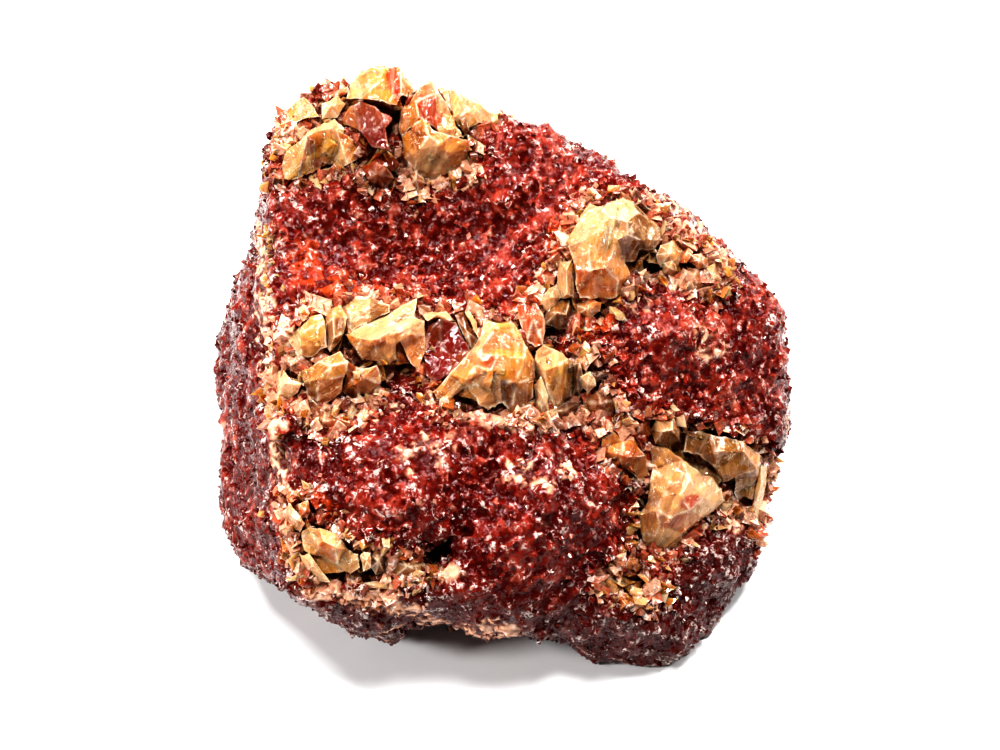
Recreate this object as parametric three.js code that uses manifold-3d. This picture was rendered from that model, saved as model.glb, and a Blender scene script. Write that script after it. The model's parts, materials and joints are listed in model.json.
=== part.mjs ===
// A hand-sized lump of raw red calcite. Deep red, granular calcite carries clusters of
// large honey-coloured calcite crystals, each cluster a solid of its own set in a socket.
// Units are millimetres, +Z is up, and the lump rests on a flat broken face at Z = 0.
import * as THREE from 'three';
import { ConvexGeometry } from 'three/addons/geometries/ConvexGeometry.js';
import { ImprovedNoise } from 'three/addons/math/ImprovedNoise.js';
import { mergeVertices } from 'three/addons/utils/BufferGeometryUtils.js';
import Module from 'manifold-3d';

const wasm = await Module();
wasm.setup();

// ---------------------------------------------------------------- driving dimensions
const SPACING = 4.6;
const ROUGHNESS = 0.9; // how far each corner of that surface is knocked out of line // grid step of the red body's surface
const SOCKET_GAP = 0.5; // clearance all round a crystal cluster in its socket
const CENTRE_HEIGHT = 30; // the sight frame's origin above the resting face
const SIGHT_ELEVATION = 58; // degrees above the horizon of the sight frame's w axis
const SIGHT_DISTANCE = 500; // how far away the display viewpoint is

// The display side is modelled in a sight frame (u, v, w): u to the right, v up and w towards
// a viewpoint in front of the lump and above it. (u, v) is where a point is seen from there,
// measured on the plane through the frame's origin, so sight lines draw together towards it.
const TILT = THREE.MathUtils.degToRad(SIGHT_ELEVATION);
const RIGHT = new THREE.Vector3(1, 0, 0);
const UP = new THREE.Vector3(0, Math.sin(TILT), Math.cos(TILT));
const NEAR = new THREE.Vector3(0, -Math.cos(TILT), Math.sin(TILT));

function seen(u, v, w) {
  const narrowing = 1 - w / SIGHT_DISTANCE;
  return new THREE.Vector3(0, 0, CENTRE_HEIGHT)
    .addScaledVector(RIGHT, u * narrowing)
    .addScaledVector(UP, v * narrowing)
    .addScaledVector(NEAR, w);
}

// The red body's outline in the sight frame, anticlockwise from its right-hand tip.
const OUTLINE = [
  [55.5, -6], [55, 3], [54.5, 10], [50, 16], [41, 24], [35, 31.5], [28.5, 34.5],
  [15, 42], [9, 46], [0, 48.5], [-5, 50.5], [-10, 52.5], [-20, 54], [-30, 54.5], [-38, 52.5],
  [-42, 49.5], [-45.5, 42.5], [-46.8, 38], [-47, 30], [-48, 24], [-51, 18], [-54, 6], [-54.5, -10],
  [-56.5, -24], [-53, -36], [-45, -41.5], [-32, -49], [-26, -53.5], [-20, -51.5],
  [-16.5, -48.5], [-10, -51.5], [2, -54], [8, -53], [13, -52.5], [17, -57.5], [26, -59],
  [37, -57.5], [42.5, -50.5], [48, -41.5], [50, -33], [52, -22], [50.5, -18], [54, -15.5],
];
const OUTLINE_MARGIN = 1.5; // how far the body stays inside it, for the lumps that stand out
const ROUND_OVER = 5; // radius with which one broad face turns into the next

// ---------------------------------------------------------------- small helpers
const noise = new ImprovedNoise();
let drawn = 0;

function random(low = 0, high = 1) {
  drawn += 1;
  return low + (high - low) * THREE.MathUtils.seededRandom(7919 * drawn + 17);
}

function smoothMax(a, b, radius) {
  const overlap = Math.max(radius - Math.abs(a - b), 0) / radius;
  return Math.max(a, b) + overlap * overlap * radius * 0.25;
}

function smoothMin(a, b, radius) {
  return -smoothMax(-a, -b, radius);
}

function smoothStep(low, high, x) {
  const t = THREE.MathUtils.clamp((x - low) / (high - low), 0, 1);
  return t * t * (3 - 2 * t);
}

// 1 at the middle of an ellipse in (u, v), falling smoothly to 0 at its rim.
function mound(u, v, middle, radii) {
  const r2 = ((u - middle[0]) / radii[0]) ** 2 + ((v - middle[1]) / radii[1]) ** 2;
  return r2 < 1 ? (1 - r2) ** 2 : 0;
}

// Distance from (u, v) to a path of straight stretches, positive on its left-hand side.
function sideOfPath(u, v, path) {
  let nearest = Infinity;
  let side = 1;
  for (let i = 0; i + 1 < path.length; i += 1) {
    const [au, av] = path[i];
    const [bu, bv] = path[i + 1];
    const du = bu - au;
    const dv = bv - av;
    const t = ((u - au) * du + (v - av) * dv) / (du * du + dv * dv);
    const held = THREE.MathUtils.clamp(t, 0, 1);
    const distance = Math.hypot(u - au - held * du, v - av - held * dv);
    if (distance < nearest) {
      nearest = distance;
      side = du * (v - av) - dv * (u - au) >= 0 ? 1 : -1;
    }
  }
  return side * nearest;
}

// ---------------------------------------------------------------- the red body's shape
const outlineCurve = new THREE.CatmullRomCurve3(
  OUTLINE.map(([u, v]) => new THREE.Vector3(u, v, 0)), true, 'catmullrom', 0.35,
);
const outlinePath = outlineCurve.getPoints(160).map((p) => [p.x, p.y]);

// Signed distance to the outline, positive outside it.
function outsideOutline(u, v) {
  return -sideOfPath(u, v, outlinePath);
}

// The overhanging edge of the right-hand lobe, from the middle of the lump to its corner.
const LOBE_EDGE = [[8, -1], [18, -5.5], [28, -11], [38, -12.5], [52, -18]];
const LOBE_STEP = 3.5;
// The split between the lower middle lobe and the corner crystals.
const SPLIT = [[27, -12], [28.5, -22], [25, -35]];
// The dark crevice between the two lower lobes.
const CREVICE = [[-17, -38.5], [-11, -34.5], [-4, -28.5], [-3, -20]];
// The recess that runs under both lower lobes, above the broken shelf.
const LOWER_RECESS = [[-28, -42.5], [-20, -40], [-4, -40.5], [12, -42.5], [24, -42]];

// How near the display side stands to the viewpoint at (u, v).
function displaySide(u, v) {
  const broadFace = 27 - 0.233 * (v + 38);
  const rightSlope = 17 - 0.5 * (u - 26);
  const leftWall = 17 + 2.5 * (u + 43.5);
  const frontWall = 31 + 1.55 * (v + 40);
  const cornerWall = 19 - 2.0 * (0.85 * u - 0.53 * v - 52);
  let w = smoothMin(broadFace, rightSlope, 6);
  w = smoothMin(w, leftWall, 4);
  w = smoothMin(w, frontWall, 5);
  w = smoothMin(w, cornerWall, 5);
  w += 6.0 * mound(u, v, [-22, -23], [22, 16]); // lower left lobe
  w += 6.0 * mound(u, v, [12, -28], [18, 16]); // lower middle lobe
  w += 4.5 * mound(u, v, [37, 2], [20, 16]); // right-hand lobe
  w += 2.5 * mound(u, v, [-3, -1], [16, 12]); // swell that carries the middle crystals
  w += 3.0 * mound(u, v, [-29, 3], [18, 13]); // swell that carries the left crystals
  w += 5.0 * mound(u, v, [20, 24], [12, 18]); // shoulder ridge
  w += 3.5 * mound(u, v, [-24, 44], [22, 14]); // crown
  w += 2.5 * mound(u, v, [-4, -46], [19, 5]); // broken shelf under the lobes
  w += 4.0 * mound(u, v, [26, -52], [15, 10]); // right foot
  w -= 4.5 * mound(u, v, [-12, 22], [25, 13]); // shallow pan between crown and ledge
  w -= 6.0 * mound(u, v, [-12, 3], [6.5, 7]); // dark hollow between the ledge crystals
  w -= 8.0 * mound(u, v, [-12.5, -36], [7.5, 5]); // mouth of the crevice
  const overEdge = sideOfPath(u, v, LOBE_EDGE);
  w += LOBE_STEP * (smoothStep(-1.5, 2, overEdge) - 1) * smoothStep(2, 14, u);
  w -= 4.0 * smoothStep(3.4, 0, Math.abs(sideOfPath(u, v, SPLIT)));
  w -= 4.0 * smoothStep(3.6, 0, Math.abs(sideOfPath(u, v, CREVICE)));
  w -= 3.0 * smoothStep(3.2, 0, Math.abs(sideOfPath(u, v, LOWER_RECESS)));
  return w;
}

// Broad broken faces on the far side, as outward normals and distances from the Z axis.
const FAR_FACES = [
  { normal: [0.08, 0.97, 0.14], distance: 51 },
  { normal: [0.55, 0.82, 0.1], distance: 48 },
  { normal: [-0.66, 0.74, 0.12], distance: 65 },
  { normal: [0.93, 0.34, 0.12], distance: 58.5 },
].map(({ normal, distance }) => ({ normal: new THREE.Vector3(...normal).normalize(), distance }));

// Hollows in the underside and flanks, in the lump's own axes: middle and radii.
const UNDERCUTS = [
  { middle: [-3, -51, 0], radii: [15, 10, 12] }, // arch between the two front feet
  { middle: [-61, -4, 0], radii: [8, 18, 7] }, // broken away under the left side
  { middle: [20, 52, 0], radii: [24, 10, 12] }, // broken away under the far side
];

function hollow(p, { middle, radii }) {
  const r = Math.hypot(
    (p.x - middle[0]) / radii[0], (p.y - middle[1]) / radii[1], (p.z - middle[2]) / radii[2],
  );
  return (1 - r) * Math.min(...radii);
}

// Lumps that meet in creases, as broken granular calcite has.
function lumps(p, size, offset) {
  return 0.3 - Math.abs(noise.noise(p.x / size + offset, p.y / size, p.z / size));
}

// Negative inside the red body and positive outside it, roughly in millimetres.
function redBody(u, v, w) {
  const p = seen(u, v, w);
  let field = (w - displaySide(u, v)) * 0.8;
  const swell = 5 * noise.noise(p.x / 27 + 3, p.y / 27, p.z / 23);
  for (const face of FAR_FACES) {
    field = smoothMax(field, face.normal.dot(p) - face.distance - swell, ROUND_OVER);
  }
  field = smoothMax(field, outsideOutline(u, v) + OUTLINE_MARGIN, ROUND_OVER * 0.5);
  field -= 3.4 * lumps(p, 17, 5);
  field -= 1.6 * lumps(p, 9, 9);
  for (const undercut of UNDERCUTS) {
    field = smoothMax(field, hollow(p, undercut), 3);
  }
  return smoothMax(field, -1.5 - p.z, 1);
}

// Two inside corners of a cell face that touch only across its diagonal would pinch the
// surface to an edge there, so the shallowest corner of such a face changes sides.
function unpinch(values, strides) {
  let pinches = 1;
  while (pinches) {
    pinches = 0;
    for (const [a, b] of [[0, 1], [1, 2], [2, 0]]) {
      for (let n = 0; n + strides[a] + strides[b] < values.length; n += 1) {
        const face = [n, n + strides[a], n + strides[a] + strides[b], n + strides[b]];
        const [p, q, r, s] = face.map((corner) => values[corner] < 0);
        if (p !== r || q !== s || p === q) continue;
        face.sort((one, other) => Math.abs(values[one]) - Math.abs(values[other]));
        values[face[0]] = values[face[0]] < 0 ? 0.1 : -0.1;
        pinches += 1;
      }
    }
  }
}

// Turns a field that is negative inside into a closed mesh: one corner in each cell that the
// surface crosses, placed on the mean of its crossings, and a quad round each crossed edge.
function meshOfField(field, low, high, step) {
  const counts = low.map((from, axis) => Math.ceil((high[axis] - from) / step) + 1);
  const [nu, nv, nw] = counts;
  const at = (i, j, k) => (k * nv + j) * nu + i;
  const values = new Float32Array(nu * nv * nw);
  for (let k = 0; k < nw; k += 1) {
    for (let j = 0; j < nv; j += 1) {
      for (let i = 0; i < nu; i += 1) {
        values[at(i, j, k)] = field(low[0] + i * step, low[1] + j * step, low[2] + k * step);
      }
    }
  }
  unpinch(values, [1, nu, nu * nv]);
  const corners = [];
  const cornerOf = new Map();
  const cellCorner = (i, j, k) => cornerOf.get(at(i, j, k));
  const edges = [];
  for (let a = 0; a < 8; a += 1) {
    for (const bit of [1, 2, 4]) {
      if (!(a & bit)) edges.push([a, a | bit]);
    }
  }
  for (let k = 0; k + 1 < nw; k += 1) {
    for (let j = 0; j + 1 < nv; j += 1) {
      for (let i = 0; i + 1 < nu; i += 1) {
        const mean = new THREE.Vector3();
        let crossings = 0;
        for (const [a, b] of edges) {
          const va = values[at(i + (a & 1), j + ((a >> 1) & 1), k + (a >> 2))];
          const vb = values[at(i + (b & 1), j + ((b >> 1) & 1), k + (b >> 2))];
          if (va < 0 === vb < 0) continue;
          const t = va / (va - vb);
          mean.x += (a & 1) + t * ((b & 1) - (a & 1));
          mean.y += ((a >> 1) & 1) + t * (((b >> 1) & 1) - ((a >> 1) & 1));
          mean.z += (a >> 2) + t * ((b >> 2) - (a >> 2));
          crossings += 1;
        }
        if (!crossings) continue;
        mean.divideScalar(crossings);
        cornerOf.set(at(i, j, k), corners.length / 3);
        const place = seen(
          low[0] + (i + mean.x) * step, low[1] + (j + mean.y) * step, low[2] + (k + mean.z) * step,
        );
        corners.push(
          place.x + random(-ROUGHNESS, ROUGHNESS),
          place.y + random(-ROUGHNESS, ROUGHNESS),
          place.z + random(-ROUGHNESS, ROUGHNESS),
        );
      }
    }
  }
  const index = [];
  const addQuad = (a, b, c, d, flip) => {
    if (flip) index.push(a, c, b, a, d, c);
    else index.push(a, b, c, a, c, d);
  };
  for (let k = 1; k + 1 < nw; k += 1) {
    for (let j = 1; j + 1 < nv; j += 1) {
      for (let i = 1; i + 1 < nu; i += 1) {
        const here = values[at(i, j, k)] < 0;
        if (here !== values[at(i + 1, j, k)] < 0) {
          addQuad(cellCorner(i, j - 1, k - 1), cellCorner(i, j, k - 1),
            cellCorner(i, j, k), cellCorner(i, j - 1, k), !here);
        }
        if (here !== values[at(i, j + 1, k)] < 0) {
          addQuad(cellCorner(i - 1, j, k - 1), cellCorner(i - 1, j, k),
            cellCorner(i, j, k), cellCorner(i, j, k - 1), !here);
        }
        if (here !== values[at(i, j, k + 1)] < 0) {
          addQuad(cellCorner(i - 1, j - 1, k), cellCorner(i, j - 1, k),
            cellCorner(i, j, k), cellCorner(i - 1, j, k), !here);
        }
      }
    }
  }
  const geometry = new THREE.BufferGeometry();
  geometry.setAttribute('position', new THREE.Float32BufferAttribute(corners, 3));
  geometry.setIndex(index);
  return geometry;
}

// ---------------------------------------------------------------- solids and booleans
function solidOf(geometry) {
  const bare = geometry.clone();
  bare.deleteAttribute('normal');
  bare.deleteAttribute('uv');
  const merged = mergeVertices(bare, 1e-4);
  return new wasm.Manifold(new wasm.Mesh({
    numProp: 3,
    vertProperties: new Float32Array(merged.attributes.position.array),
    triVerts: new Uint32Array(merged.index.array),
  }));
}

function geometryOf(solid) {
  const { vertProperties, triVerts, numProp } = solid.getMesh();
  const geometry = new THREE.BufferGeometry();
  const places = new Float32Array((vertProperties.length / numProp) * 3);
  for (let i = 0; i < places.length / 3; i += 1) {
    places.set(vertProperties.subarray(i * numProp, i * numProp + 3), i * 3);
  }
  geometry.setAttribute('position', new THREE.BufferAttribute(places, 3));
  geometry.setIndex(new THREE.BufferAttribute(triVerts, 1));
  geometry.computeVertexNormals();
  return geometry;
}

function largestPiece(solid) {
  const pieces = solid.decompose();
  return pieces.reduce((best, piece) => (piece.volume() > best.volume() ? piece : best));
}

function boxSolid(size, middle) {
  return solidOf(new THREE.BoxGeometry(...size).translate(...middle));
}

// ---------------------------------------------------------------- crystals
// A crystal is given by what shows of it. rim is where it leaves the red rock, as (u, v) corners.
// ridge is its upper corners, as (u, v) and the height over the red surface. root is the way
// its hidden end runs into the rock.
const RIM_HEIGHT = 0.7;
const IN = [0, 0, -5];
const DOWN = [0, -5, -7];
const CRYSTALS = {
  crown_crystals: [
    { // broad blunt peak
      rim: [[-30, 49.5], [-29.5, 52.5], [-27.5, 56], [-25, 57], [-20, 57], [-18.5, 55], [-16.5, 52.5], [-19, 48]],
      ridge: [[-25, 54.5, 4], [-20.5, 55, 4.5], [-19, 51.5, 5], [-26.5, 51, 4.5]],
      root: DOWN,
    },
    { // sharp peak
      rim: [[-20, 47], [-19, 49.5], [-17, 51.5], [-15, 54], [-13.5, 54.5], [-12, 52], [-10, 49.5], [-6.5, 45], [-11, 43], [-18, 43]],
      ridge: [[-14.5, 52.5, 4], [-16.5, 47, 5.5], [-13, 47.5, 6], [-9, 46, 4]],
      root: DOWN,
    },
    { // fan of split blades
      rim: [[-42, 34], [-41.5, 38], [-39.5, 42.5], [-37, 45], [-33.5, 47], [-31, 46.5], [-27.5, 41.5], [-29, 38], [-34, 36.5]],
      ridge: [[-39, 38, 3.5], [-37, 42.5, 4.5], [-33.5, 44.5, 5.5], [-31, 43, 5], [-30.5, 39.5, 3]],
      root: IN,
    },
    { // dark block between the peaks
      rim: [[-28.5, 51], [-25, 50], [-20.5, 48], [-20, 46], [-21.5, 41], [-25, 41.5], [-29.5, 47]],
      ridge: [[-27, 49, 4], [-22, 46.5, 4.5], [-23, 43, 3.5]],
      root: IN,
    },
    { // bright block
      rim: [[-19, 43], [-17.5, 45], [-15.5, 47], [-12, 45.5], [-6, 43], [-7, 39], [-9.5, 37], [-14, 36], [-15.5, 37]],
      ridge: [[-15.5, 44.5, 6.5], [-8.5, 43, 5.5], [-9, 39.5, 4.5], [-14, 38, 4.5], [-17, 42, 5]],
      root: IN,
    },
    { // wedge on the right of the peaks
      rim: [[-12, 53], [-8.5, 52.5], [-5.5, 51], [-2.5, 48.5], [-5.5, 45], [-10.5, 46]],
      ridge: [[-9, 50, 3], [-5.5, 48, 3]],
      root: DOWN,
    },
    { // low red-brown block
      rim: [[-28.5, 38.5], [-27, 40], [-23.5, 41.5], [-18, 40], [-18, 37], [-20.5, 35], [-25.5, 36]],
      ridge: [[-26, 38.5, 2.5], [-21.5, 37.5, 3], [-21, 39.5, 2.5]],
      root: IN,
    },
    { // pale block behind the fan
      rim: [[-36, 51.5], [-31, 52], [-29, 50], [-31, 46], [-36, 46.5]],
      ridge: [[-34, 49.5, 3.5], [-31, 50, 3]],
      root: IN,
    },
  ],
  left_ledge_crystals: [
    { // honey block at the left end
      rim: [[-41.5, 6], [-37, 9.5], [-34, 10.5], [-33, 8.5], [-33, 3.5], [-36, 2], [-39, 1.5]],
      ridge: [[-39, 6, 2], [-35, 9, 3.5], [-34.5, 4.5, 4], [-38, 3, 2.5]],
      root: IN,
    },
    { // smoky block beside it
      rim: [[-34.5, 10.5], [-31, 11], [-29, 7], [-30, 1], [-34.5, 3]],
      ridge: [[-32, 9.5, 2], [-30.5, 5.5, 2.5], [-32, 3.5, 2]],
      root: IN,
    },
    { // pale block at the back
      rim: [[-31.5, 10.5], [-26, 11.5], [-25, 8.5], [-29, 6]],
      ridge: [[-29.5, 9.5, 2.5], [-26.5, 10, 2.5]],
      root: IN,
    },
    { // long bright slab that rises to the right
      rim: [[-30, 6], [-23, 9.5], [-16.5, 13], [-16, 10], [-18, 7.5], [-23, 5.5], [-24, 1], [-26.5, 1], [-28.5, 4]],
      ridge: [[-28.5, 6, 3.5], [-22.5, 8.5, 5], [-17.5, 11.5, 6], [-18.5, 8.5, 5.5], [-24.5, 5, 4.5], [-25.5, 2.5, 2.5]],
      root: IN,
    },
    { // orange step below the slab
      rim: [[-24, 5.5], [-18, 8], [-15.5, 6], [-15, 3], [-16.5, -1], [-20.5, 0.5], [-24, 1]],
      ridge: [[-22, 4.5, 3], [-17.5, 6, 3.5], [-17, 2, 2.5]],
      root: IN,
    },
    { // olive crystal in front
      rim: [[-38.5, -2], [-36, 1.5], [-31, 3], [-29, 1], [-28, -3], [-30.5, -6], [-34, -6], [-37, -4]],
      ridge: [[-36, -1, 2.5], [-31, 1, 4], [-30.5, -2.5, 4], [-33.5, -4, 2]],
      root: IN,
    },
    { // brown crystal in front, to the right
      rim: [[-29.5, 0], [-26, 1.5], [-22, 0.5], [-20, -3], [-23, -5], [-29, -5]],
      ridge: [[-27, -1, 3], [-22.5, -1.5, 2.5], [-25, -3.5, 2]],
      root: IN,
    },
    { // pale block on the left edge
      rim: [[-43, -1.5], [-41, 0], [-37.5, -2], [-37.5, -5.5], [-41, -6.5], [-42.5, -6]],
      ridge: [[-41, -2, 1.5], [-39, -3.5, 2]],
      root: IN,
    },
  ],
  middle_crystals: [
    { // big honey pyramid
      rim: [[-13, -5], [-8, 0.5], [-4.5, 4.5], [-2, 7.5], [1.5, 8.5], [4, 6.5], [6, 0], [5.5, -4.5], [3, -9], [-4, -9], [-10.5, -7]],
      ridge: [[1, 5, 5.5], [3.5, 2, 6], [0.5, -1.5, 7], [-4, 0, 5], [3, -5.5, 4], [-9, -4.5, 1.5]],
      root: IN,
    },
    { // stubby crystal standing out of the pyramid
      rim: [[-6.5, -3], [-4.5, 2], [-2, 2.5], [0.5, 1.5], [-0.5, -6.5], [-2, -8], [-5, -6.5]],
      ridge: [[-4, 0.5, 7], [-0.8, 0.5, 8.2], [-1.2, -3.5, 8], [-2.2, -6, 6], [-5, -3.5, 6]],
      root: IN,
    },
    { // lemon-coloured prism
      rim: [[6.5, 3], [8.5, 4.5], [13, 0.5], [13, -6], [10, -8], [7, -5.5], [5, -3]],
      ridge: [[8.5, 2.5, 5.5], [11.8, -0.5, 5], [11.8, -5, 4.5], [9.5, -6.2, 4.5], [7.8, -2.5, 5]],
      root: IN,
    },
    { // red-orange block behind
      rim: [[2.5, 8], [4, 10.5], [5.5, 12], [8, 11], [8.5, 3], [4, 2]],
      ridge: [[5.5, 10, 4], [7, 9.5, 4], [7, 5, 4], [4.5, 6.5, 4]],
      root: IN,
    },
    { // smoky block behind
      rim: [[7, 10.8], [10, 11.6], [12, 11], [12.3, 8.5], [10.8, 6], [7, 6]],
      ridge: [[8.8, 10, 2.5], [11, 10, 3], [10.2, 7.6, 2.5]],
      root: IN,
    },
    { // thin smoky blade on the right
      rim: [[12, 1.5], [17, 1], [22, -0.5], [18.5, -5], [12, -5.5]],
      ridge: [[14.5, -0.5, 2], [20, -1, 1.8], [17, -3.5, 2]],
      root: IN,
    },
  ],
  shoulder_crystals: [
    { // blunt fibrous cone
      rim: [[13, 25], [14.5, 27.5], [17, 30.5], [21.5, 32], [24.5, 31.5], [29.5, 27], [30.5, 24.5], [28, 22], [23, 20], [21, 12.5], [14, 13]],
      ridge: [[17, 27, 5], [20.5, 29, 7], [24, 29, 6.5], [27.5, 26, 4.5], [20.5, 23, 6], [17, 16.5, 3], [15, 23, 4]],
      root: IN,
    },
    { // slim grey prism on its left
      rim: [[10.5, 20.5], [13.8, 21], [15, 12], [11, 12], [9.8, 15.5]],
      ridge: [[11.8, 19.5, 3.5], [13.2, 19.5, 3.5], [13.2, 13.5, 3], [11.2, 14.5, 3]],
      root: IN,
    },
    { // white end of the prism
      rim: [[7.5, 14.5], [11, 17], [12.5, 13.5], [9, 13]],
      ridge: [[9.3, 14.6, 2.2], [10.7, 14.4, 2.4]],
      root: IN,
    },
    { // orange pieces below the cone
      rim: [[14.2, 12.5], [17.5, 14], [22, 13.5], [21, 11], [17, 9], [14.4, 10]],
      ridge: [[15.8, 11.5, 2.2], [19.5, 11.8, 2.5], [17, 10.2, 2.2]],
      root: IN,
    },
    { // pale crystal on its right
      rim: [[27, 22.5], [31, 24], [34, 22], [33.5, 18.5], [30, 17.5], [26.5, 19]],
      ridge: [[29.5, 21.8, 2.2], [32, 21, 2.4], [31, 19, 2.2]],
      root: IN,
    },
    { // small orange crystal at the right end
      rim: [[33, 21.5], [36, 22.5], [39.5, 21], [39.5, 18.8], [36, 18.2], [33, 18.5]],
      ridge: [[35, 20.8, 2.4], [38, 20, 2.6], [36.5, 19.3, 2.2]],
      root: IN,
    },
  ],
  corner_crystals: [
    { // wide fan of cream calcite
      rim: [[29, -19], [30.5, -16.5], [34, -15.5], [38.5, -19], [42.5, -22], [41, -26], [36.5, -31.5], [32, -35.5], [28.5, -35], [26, -33], [26, -29], [28, -24]],
      ridge: [[31.5, -19, 2.5], [36, -20, 4], [40, -22.5, 3.5], [36.5, -28, 3.5], [30.5, -33, 2.5], [28.5, -29, 2.5]],
      root: IN,
    },
    { // olive block at the corner
      rim: [[35, -15.5], [37, -11.5], [42, -13], [46, -14], [49.5, -17], [49, -20], [45, -23.5], [41, -22.5]],
      ridge: [[38, -14, 3], [43, -15, 5], [47, -17, 5.5], [46, -20.5, 4.5], [41.5, -19.5, 3.5]],
      root: IN,
    },
    { // its flank, down the right-hand side
      rim: [[46, -18], [51, -19.5], [50.5, -24], [48, -27], [44, -25.5], [43, -21]],
      ridge: [[48.5, -20.5, 3], [48.5, -24, 2.5]],
      root: IN,
    },
    { // small smoky blades above the fan
      rim: [[29.5, -12.5], [33.5, -11], [37.5, -12], [37, -16.5], [30.5, -17.5]],
      ridge: [[32, -13.5, 1.8], [35, -14, 2]],
      root: IN,
    },
  ],
  cleft_crystals: [
    { // orange wedge
      rim: [[19, -16], [20.5, -13], [24, -13.5], [24.5, -18.5], [20, -19]],
      ridge: [[21, -15, 2.6], [23, -15.5, 3], [22, -17.5, 2.6]],
      root: IN,
    },
    { // orange block beside it
      rim: [[22.5, -14.5], [26, -14.5], [27.5, -17], [27, -22], [24.5, -21.5], [22, -18.5]],
      ridge: [[24.5, -16, 3], [26, -18, 3], [25, -20, 2.4]],
      root: IN,
    },
  ],
  lower_left_crystals: [
    { // pale hollowed crystal
      rim: [[-38.5, -32.5], [-36.5, -30], [-33, -30.5], [-29.5, -34], [-27, -37], [-28, -40], [-31, -41.5], [-35, -41], [-38, -37]],
      ridge: [[-36, -33, 2.6], [-32, -34, 3], [-30, -38, 2.4], [-35, -38, 2.2]],
      root: IN,
    },
    { // orange-pink crystal above it
      rim: [[-42, -26], [-39, -24], [-36, -26], [-35.5, -31.5], [-39.5, -32], [-42, -29]],
      ridge: [[-39.5, -26.5, 2.6], [-38, -29, 2.6]],
      root: IN,
    },
    { // grey-green crystal on the right
      rim: [[-29, -35.5], [-25, -34.5], [-22.5, -37], [-23, -40], [-28, -41]],
      ridge: [[-26.5, -36.8, 2.4], [-24.8, -38, 2.4]],
      root: IN,
    },
  ],
  foot_crystals: [
    { // white chip
      rim: [[18, -40.5], [20, -39], [24, -40], [23.5, -43.5], [20.5, -43]],
      ridge: [[20.5, -40.8, 1.8], [22.2, -41.5, 1.8]],
      root: IN,
    },
    { // grey block beside it
      rim: [[22.5, -40], [25.5, -39], [28, -38.8], [28.8, -41], [27.5, -44.5], [23, -44]],
      ridge: [[25, -40.5, 2.2], [27, -41, 2.2], [26, -43, 1.8]],
      root: IN,
    },
  ],
};

// The crystal's hull. room makes it that much larger all round, which gives its socket.
function crystalBody({ rim, ridge, root }, room = 0) {
  const points = [];
  const middle = [0, 1].map((axis) => rim.reduce((sum, p) => sum + p[axis], 0) / rim.length);
  for (const [u, v] of rim) {
    const w = displaySide(u, v) + RIM_HEIGHT;
    points.push([u, v, w]);
    points.push([
      u + 0.3 * (middle[0] - u) + root[0],
      v + 0.3 * (middle[1] - v) + root[1],
      displaySide(...middle) + root[2],
    ]);
  }
  for (const [u, v, height] of ridge) points.push([u, v, displaySide(u, v) + height]);
  const low = [0, 1, 2].map((axis) => Math.min(...points.map((p) => p[axis])));
  const high = [0, 1, 2].map((axis) => Math.max(...points.map((p) => p[axis])));
  const grown = points.map((p) => p.map((value, axis) => {
    const half = (high[axis] - low[axis]) / 2;
    return low[axis] + half + (value - low[axis] - half) * (1 + room / half);
  }));
  return solidOf(new ConvexGeometry(grown.map((p) => seen(...p))));
}

// A cluster's crystals grew into each other, so they are one solid.
function clusterBody(crystals, room = 0) {
  const bodies = crystals.map((crystal) => crystalBody(crystal, room));
  return bodies.reduce((joined, body) => joined.add(body));
}

// ---------------------------------------------------------------- the druse's larger grains
const GRAIN_COUNT = 120;
const GRAIN_SIZE = [4, 6.5];
const GRAIN_STANDS = [0.9, 1.7]; // how far a grain's corner stands out of the red rock

// Places that are spread over a mesh by area, each with the surface's normal there.
function spreadOver(geometry, count) {
  const corners = geometry.getAttribute('position');
  const faces = [];
  let total = 0;
  for (let i = 0; i < geometry.index.count; i += 3) {
    const [a, b, c] = [0, 1, 2].map((n) => new THREE.Vector3()
      .fromBufferAttribute(corners, geometry.index.getX(i + n)));
    const triangle = new THREE.Triangle(a, b, c);
    total += triangle.getArea();
    faces.push({ triangle, upTo: total });
  }
  return Array.from({ length: count }, (_, n) => {
    const wanted = (total * (n + random(0.1, 0.9))) / count;
    const { triangle } = faces.find((face) => face.upTo >= wanted);
    return {
      place: triangle.getMidpoint(new THREE.Vector3()),
      normal: triangle.getNormal(new THREE.Vector3()),
    };
  });
}

// Calcite cleaves into rhombs whose edges meet at 78 and 102 degrees.
const RHOMB_ANGLE = THREE.MathUtils.degToRad(78);

function rhomb(length, width, height) {
  const points = [];
  for (const i of [-0.5, 0.5]) {
    for (const j of [-0.5, 0.5]) {
      for (const k of [-0.5, 0.5]) {
        points.push(new THREE.Vector3(
          i * length + j * width * Math.cos(RHOMB_ANGLE) + k * height * 0.2,
          j * width * Math.sin(RHOMB_ANGLE) + k * height * 0.12,
          k * height,
        ));
      }
    }
  }
  return points;
}

// A grain is a rhomb set corner outwards, so that a low three-sided point shows.
function grain({ place, normal }) {
  const size = random(...GRAIN_SIZE);
  const points = rhomb(size, size * random(0.8, 1), size * random(0.8, 1));
  const corner = new THREE.Vector3(random(0.7, 1), random(0.7, 1), 1).normalize();
  const turn = new THREE.Quaternion().setFromUnitVectors(corner, normal);
  const spin = new THREE.Quaternion().setFromAxisAngle(normal, random(0, 2 * Math.PI));
  const middle = place.clone().addScaledVector(normal, random(...GRAIN_STANDS) - 0.85 * size);
  return new ConvexGeometry(points.map((p) => p.applyQuaternion(turn).applyQuaternion(spin).add(middle)));
}

// ---------------------------------------------------------------- putting it together
const FINISHES = {
  red: { color: 0x7a2420, roughness: 0.45 },
  honey: { color: 0xd9a868, roughness: 0.25 },
};

function meshOf(name, solid, finish) {
  const mesh = new THREE.Mesh(
    geometryOf(solid), new THREE.MeshStandardMaterial({ metalness: 0, ...FINISHES[finish] }),
  );
  mesh.name = name;
  return mesh;
}

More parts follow.
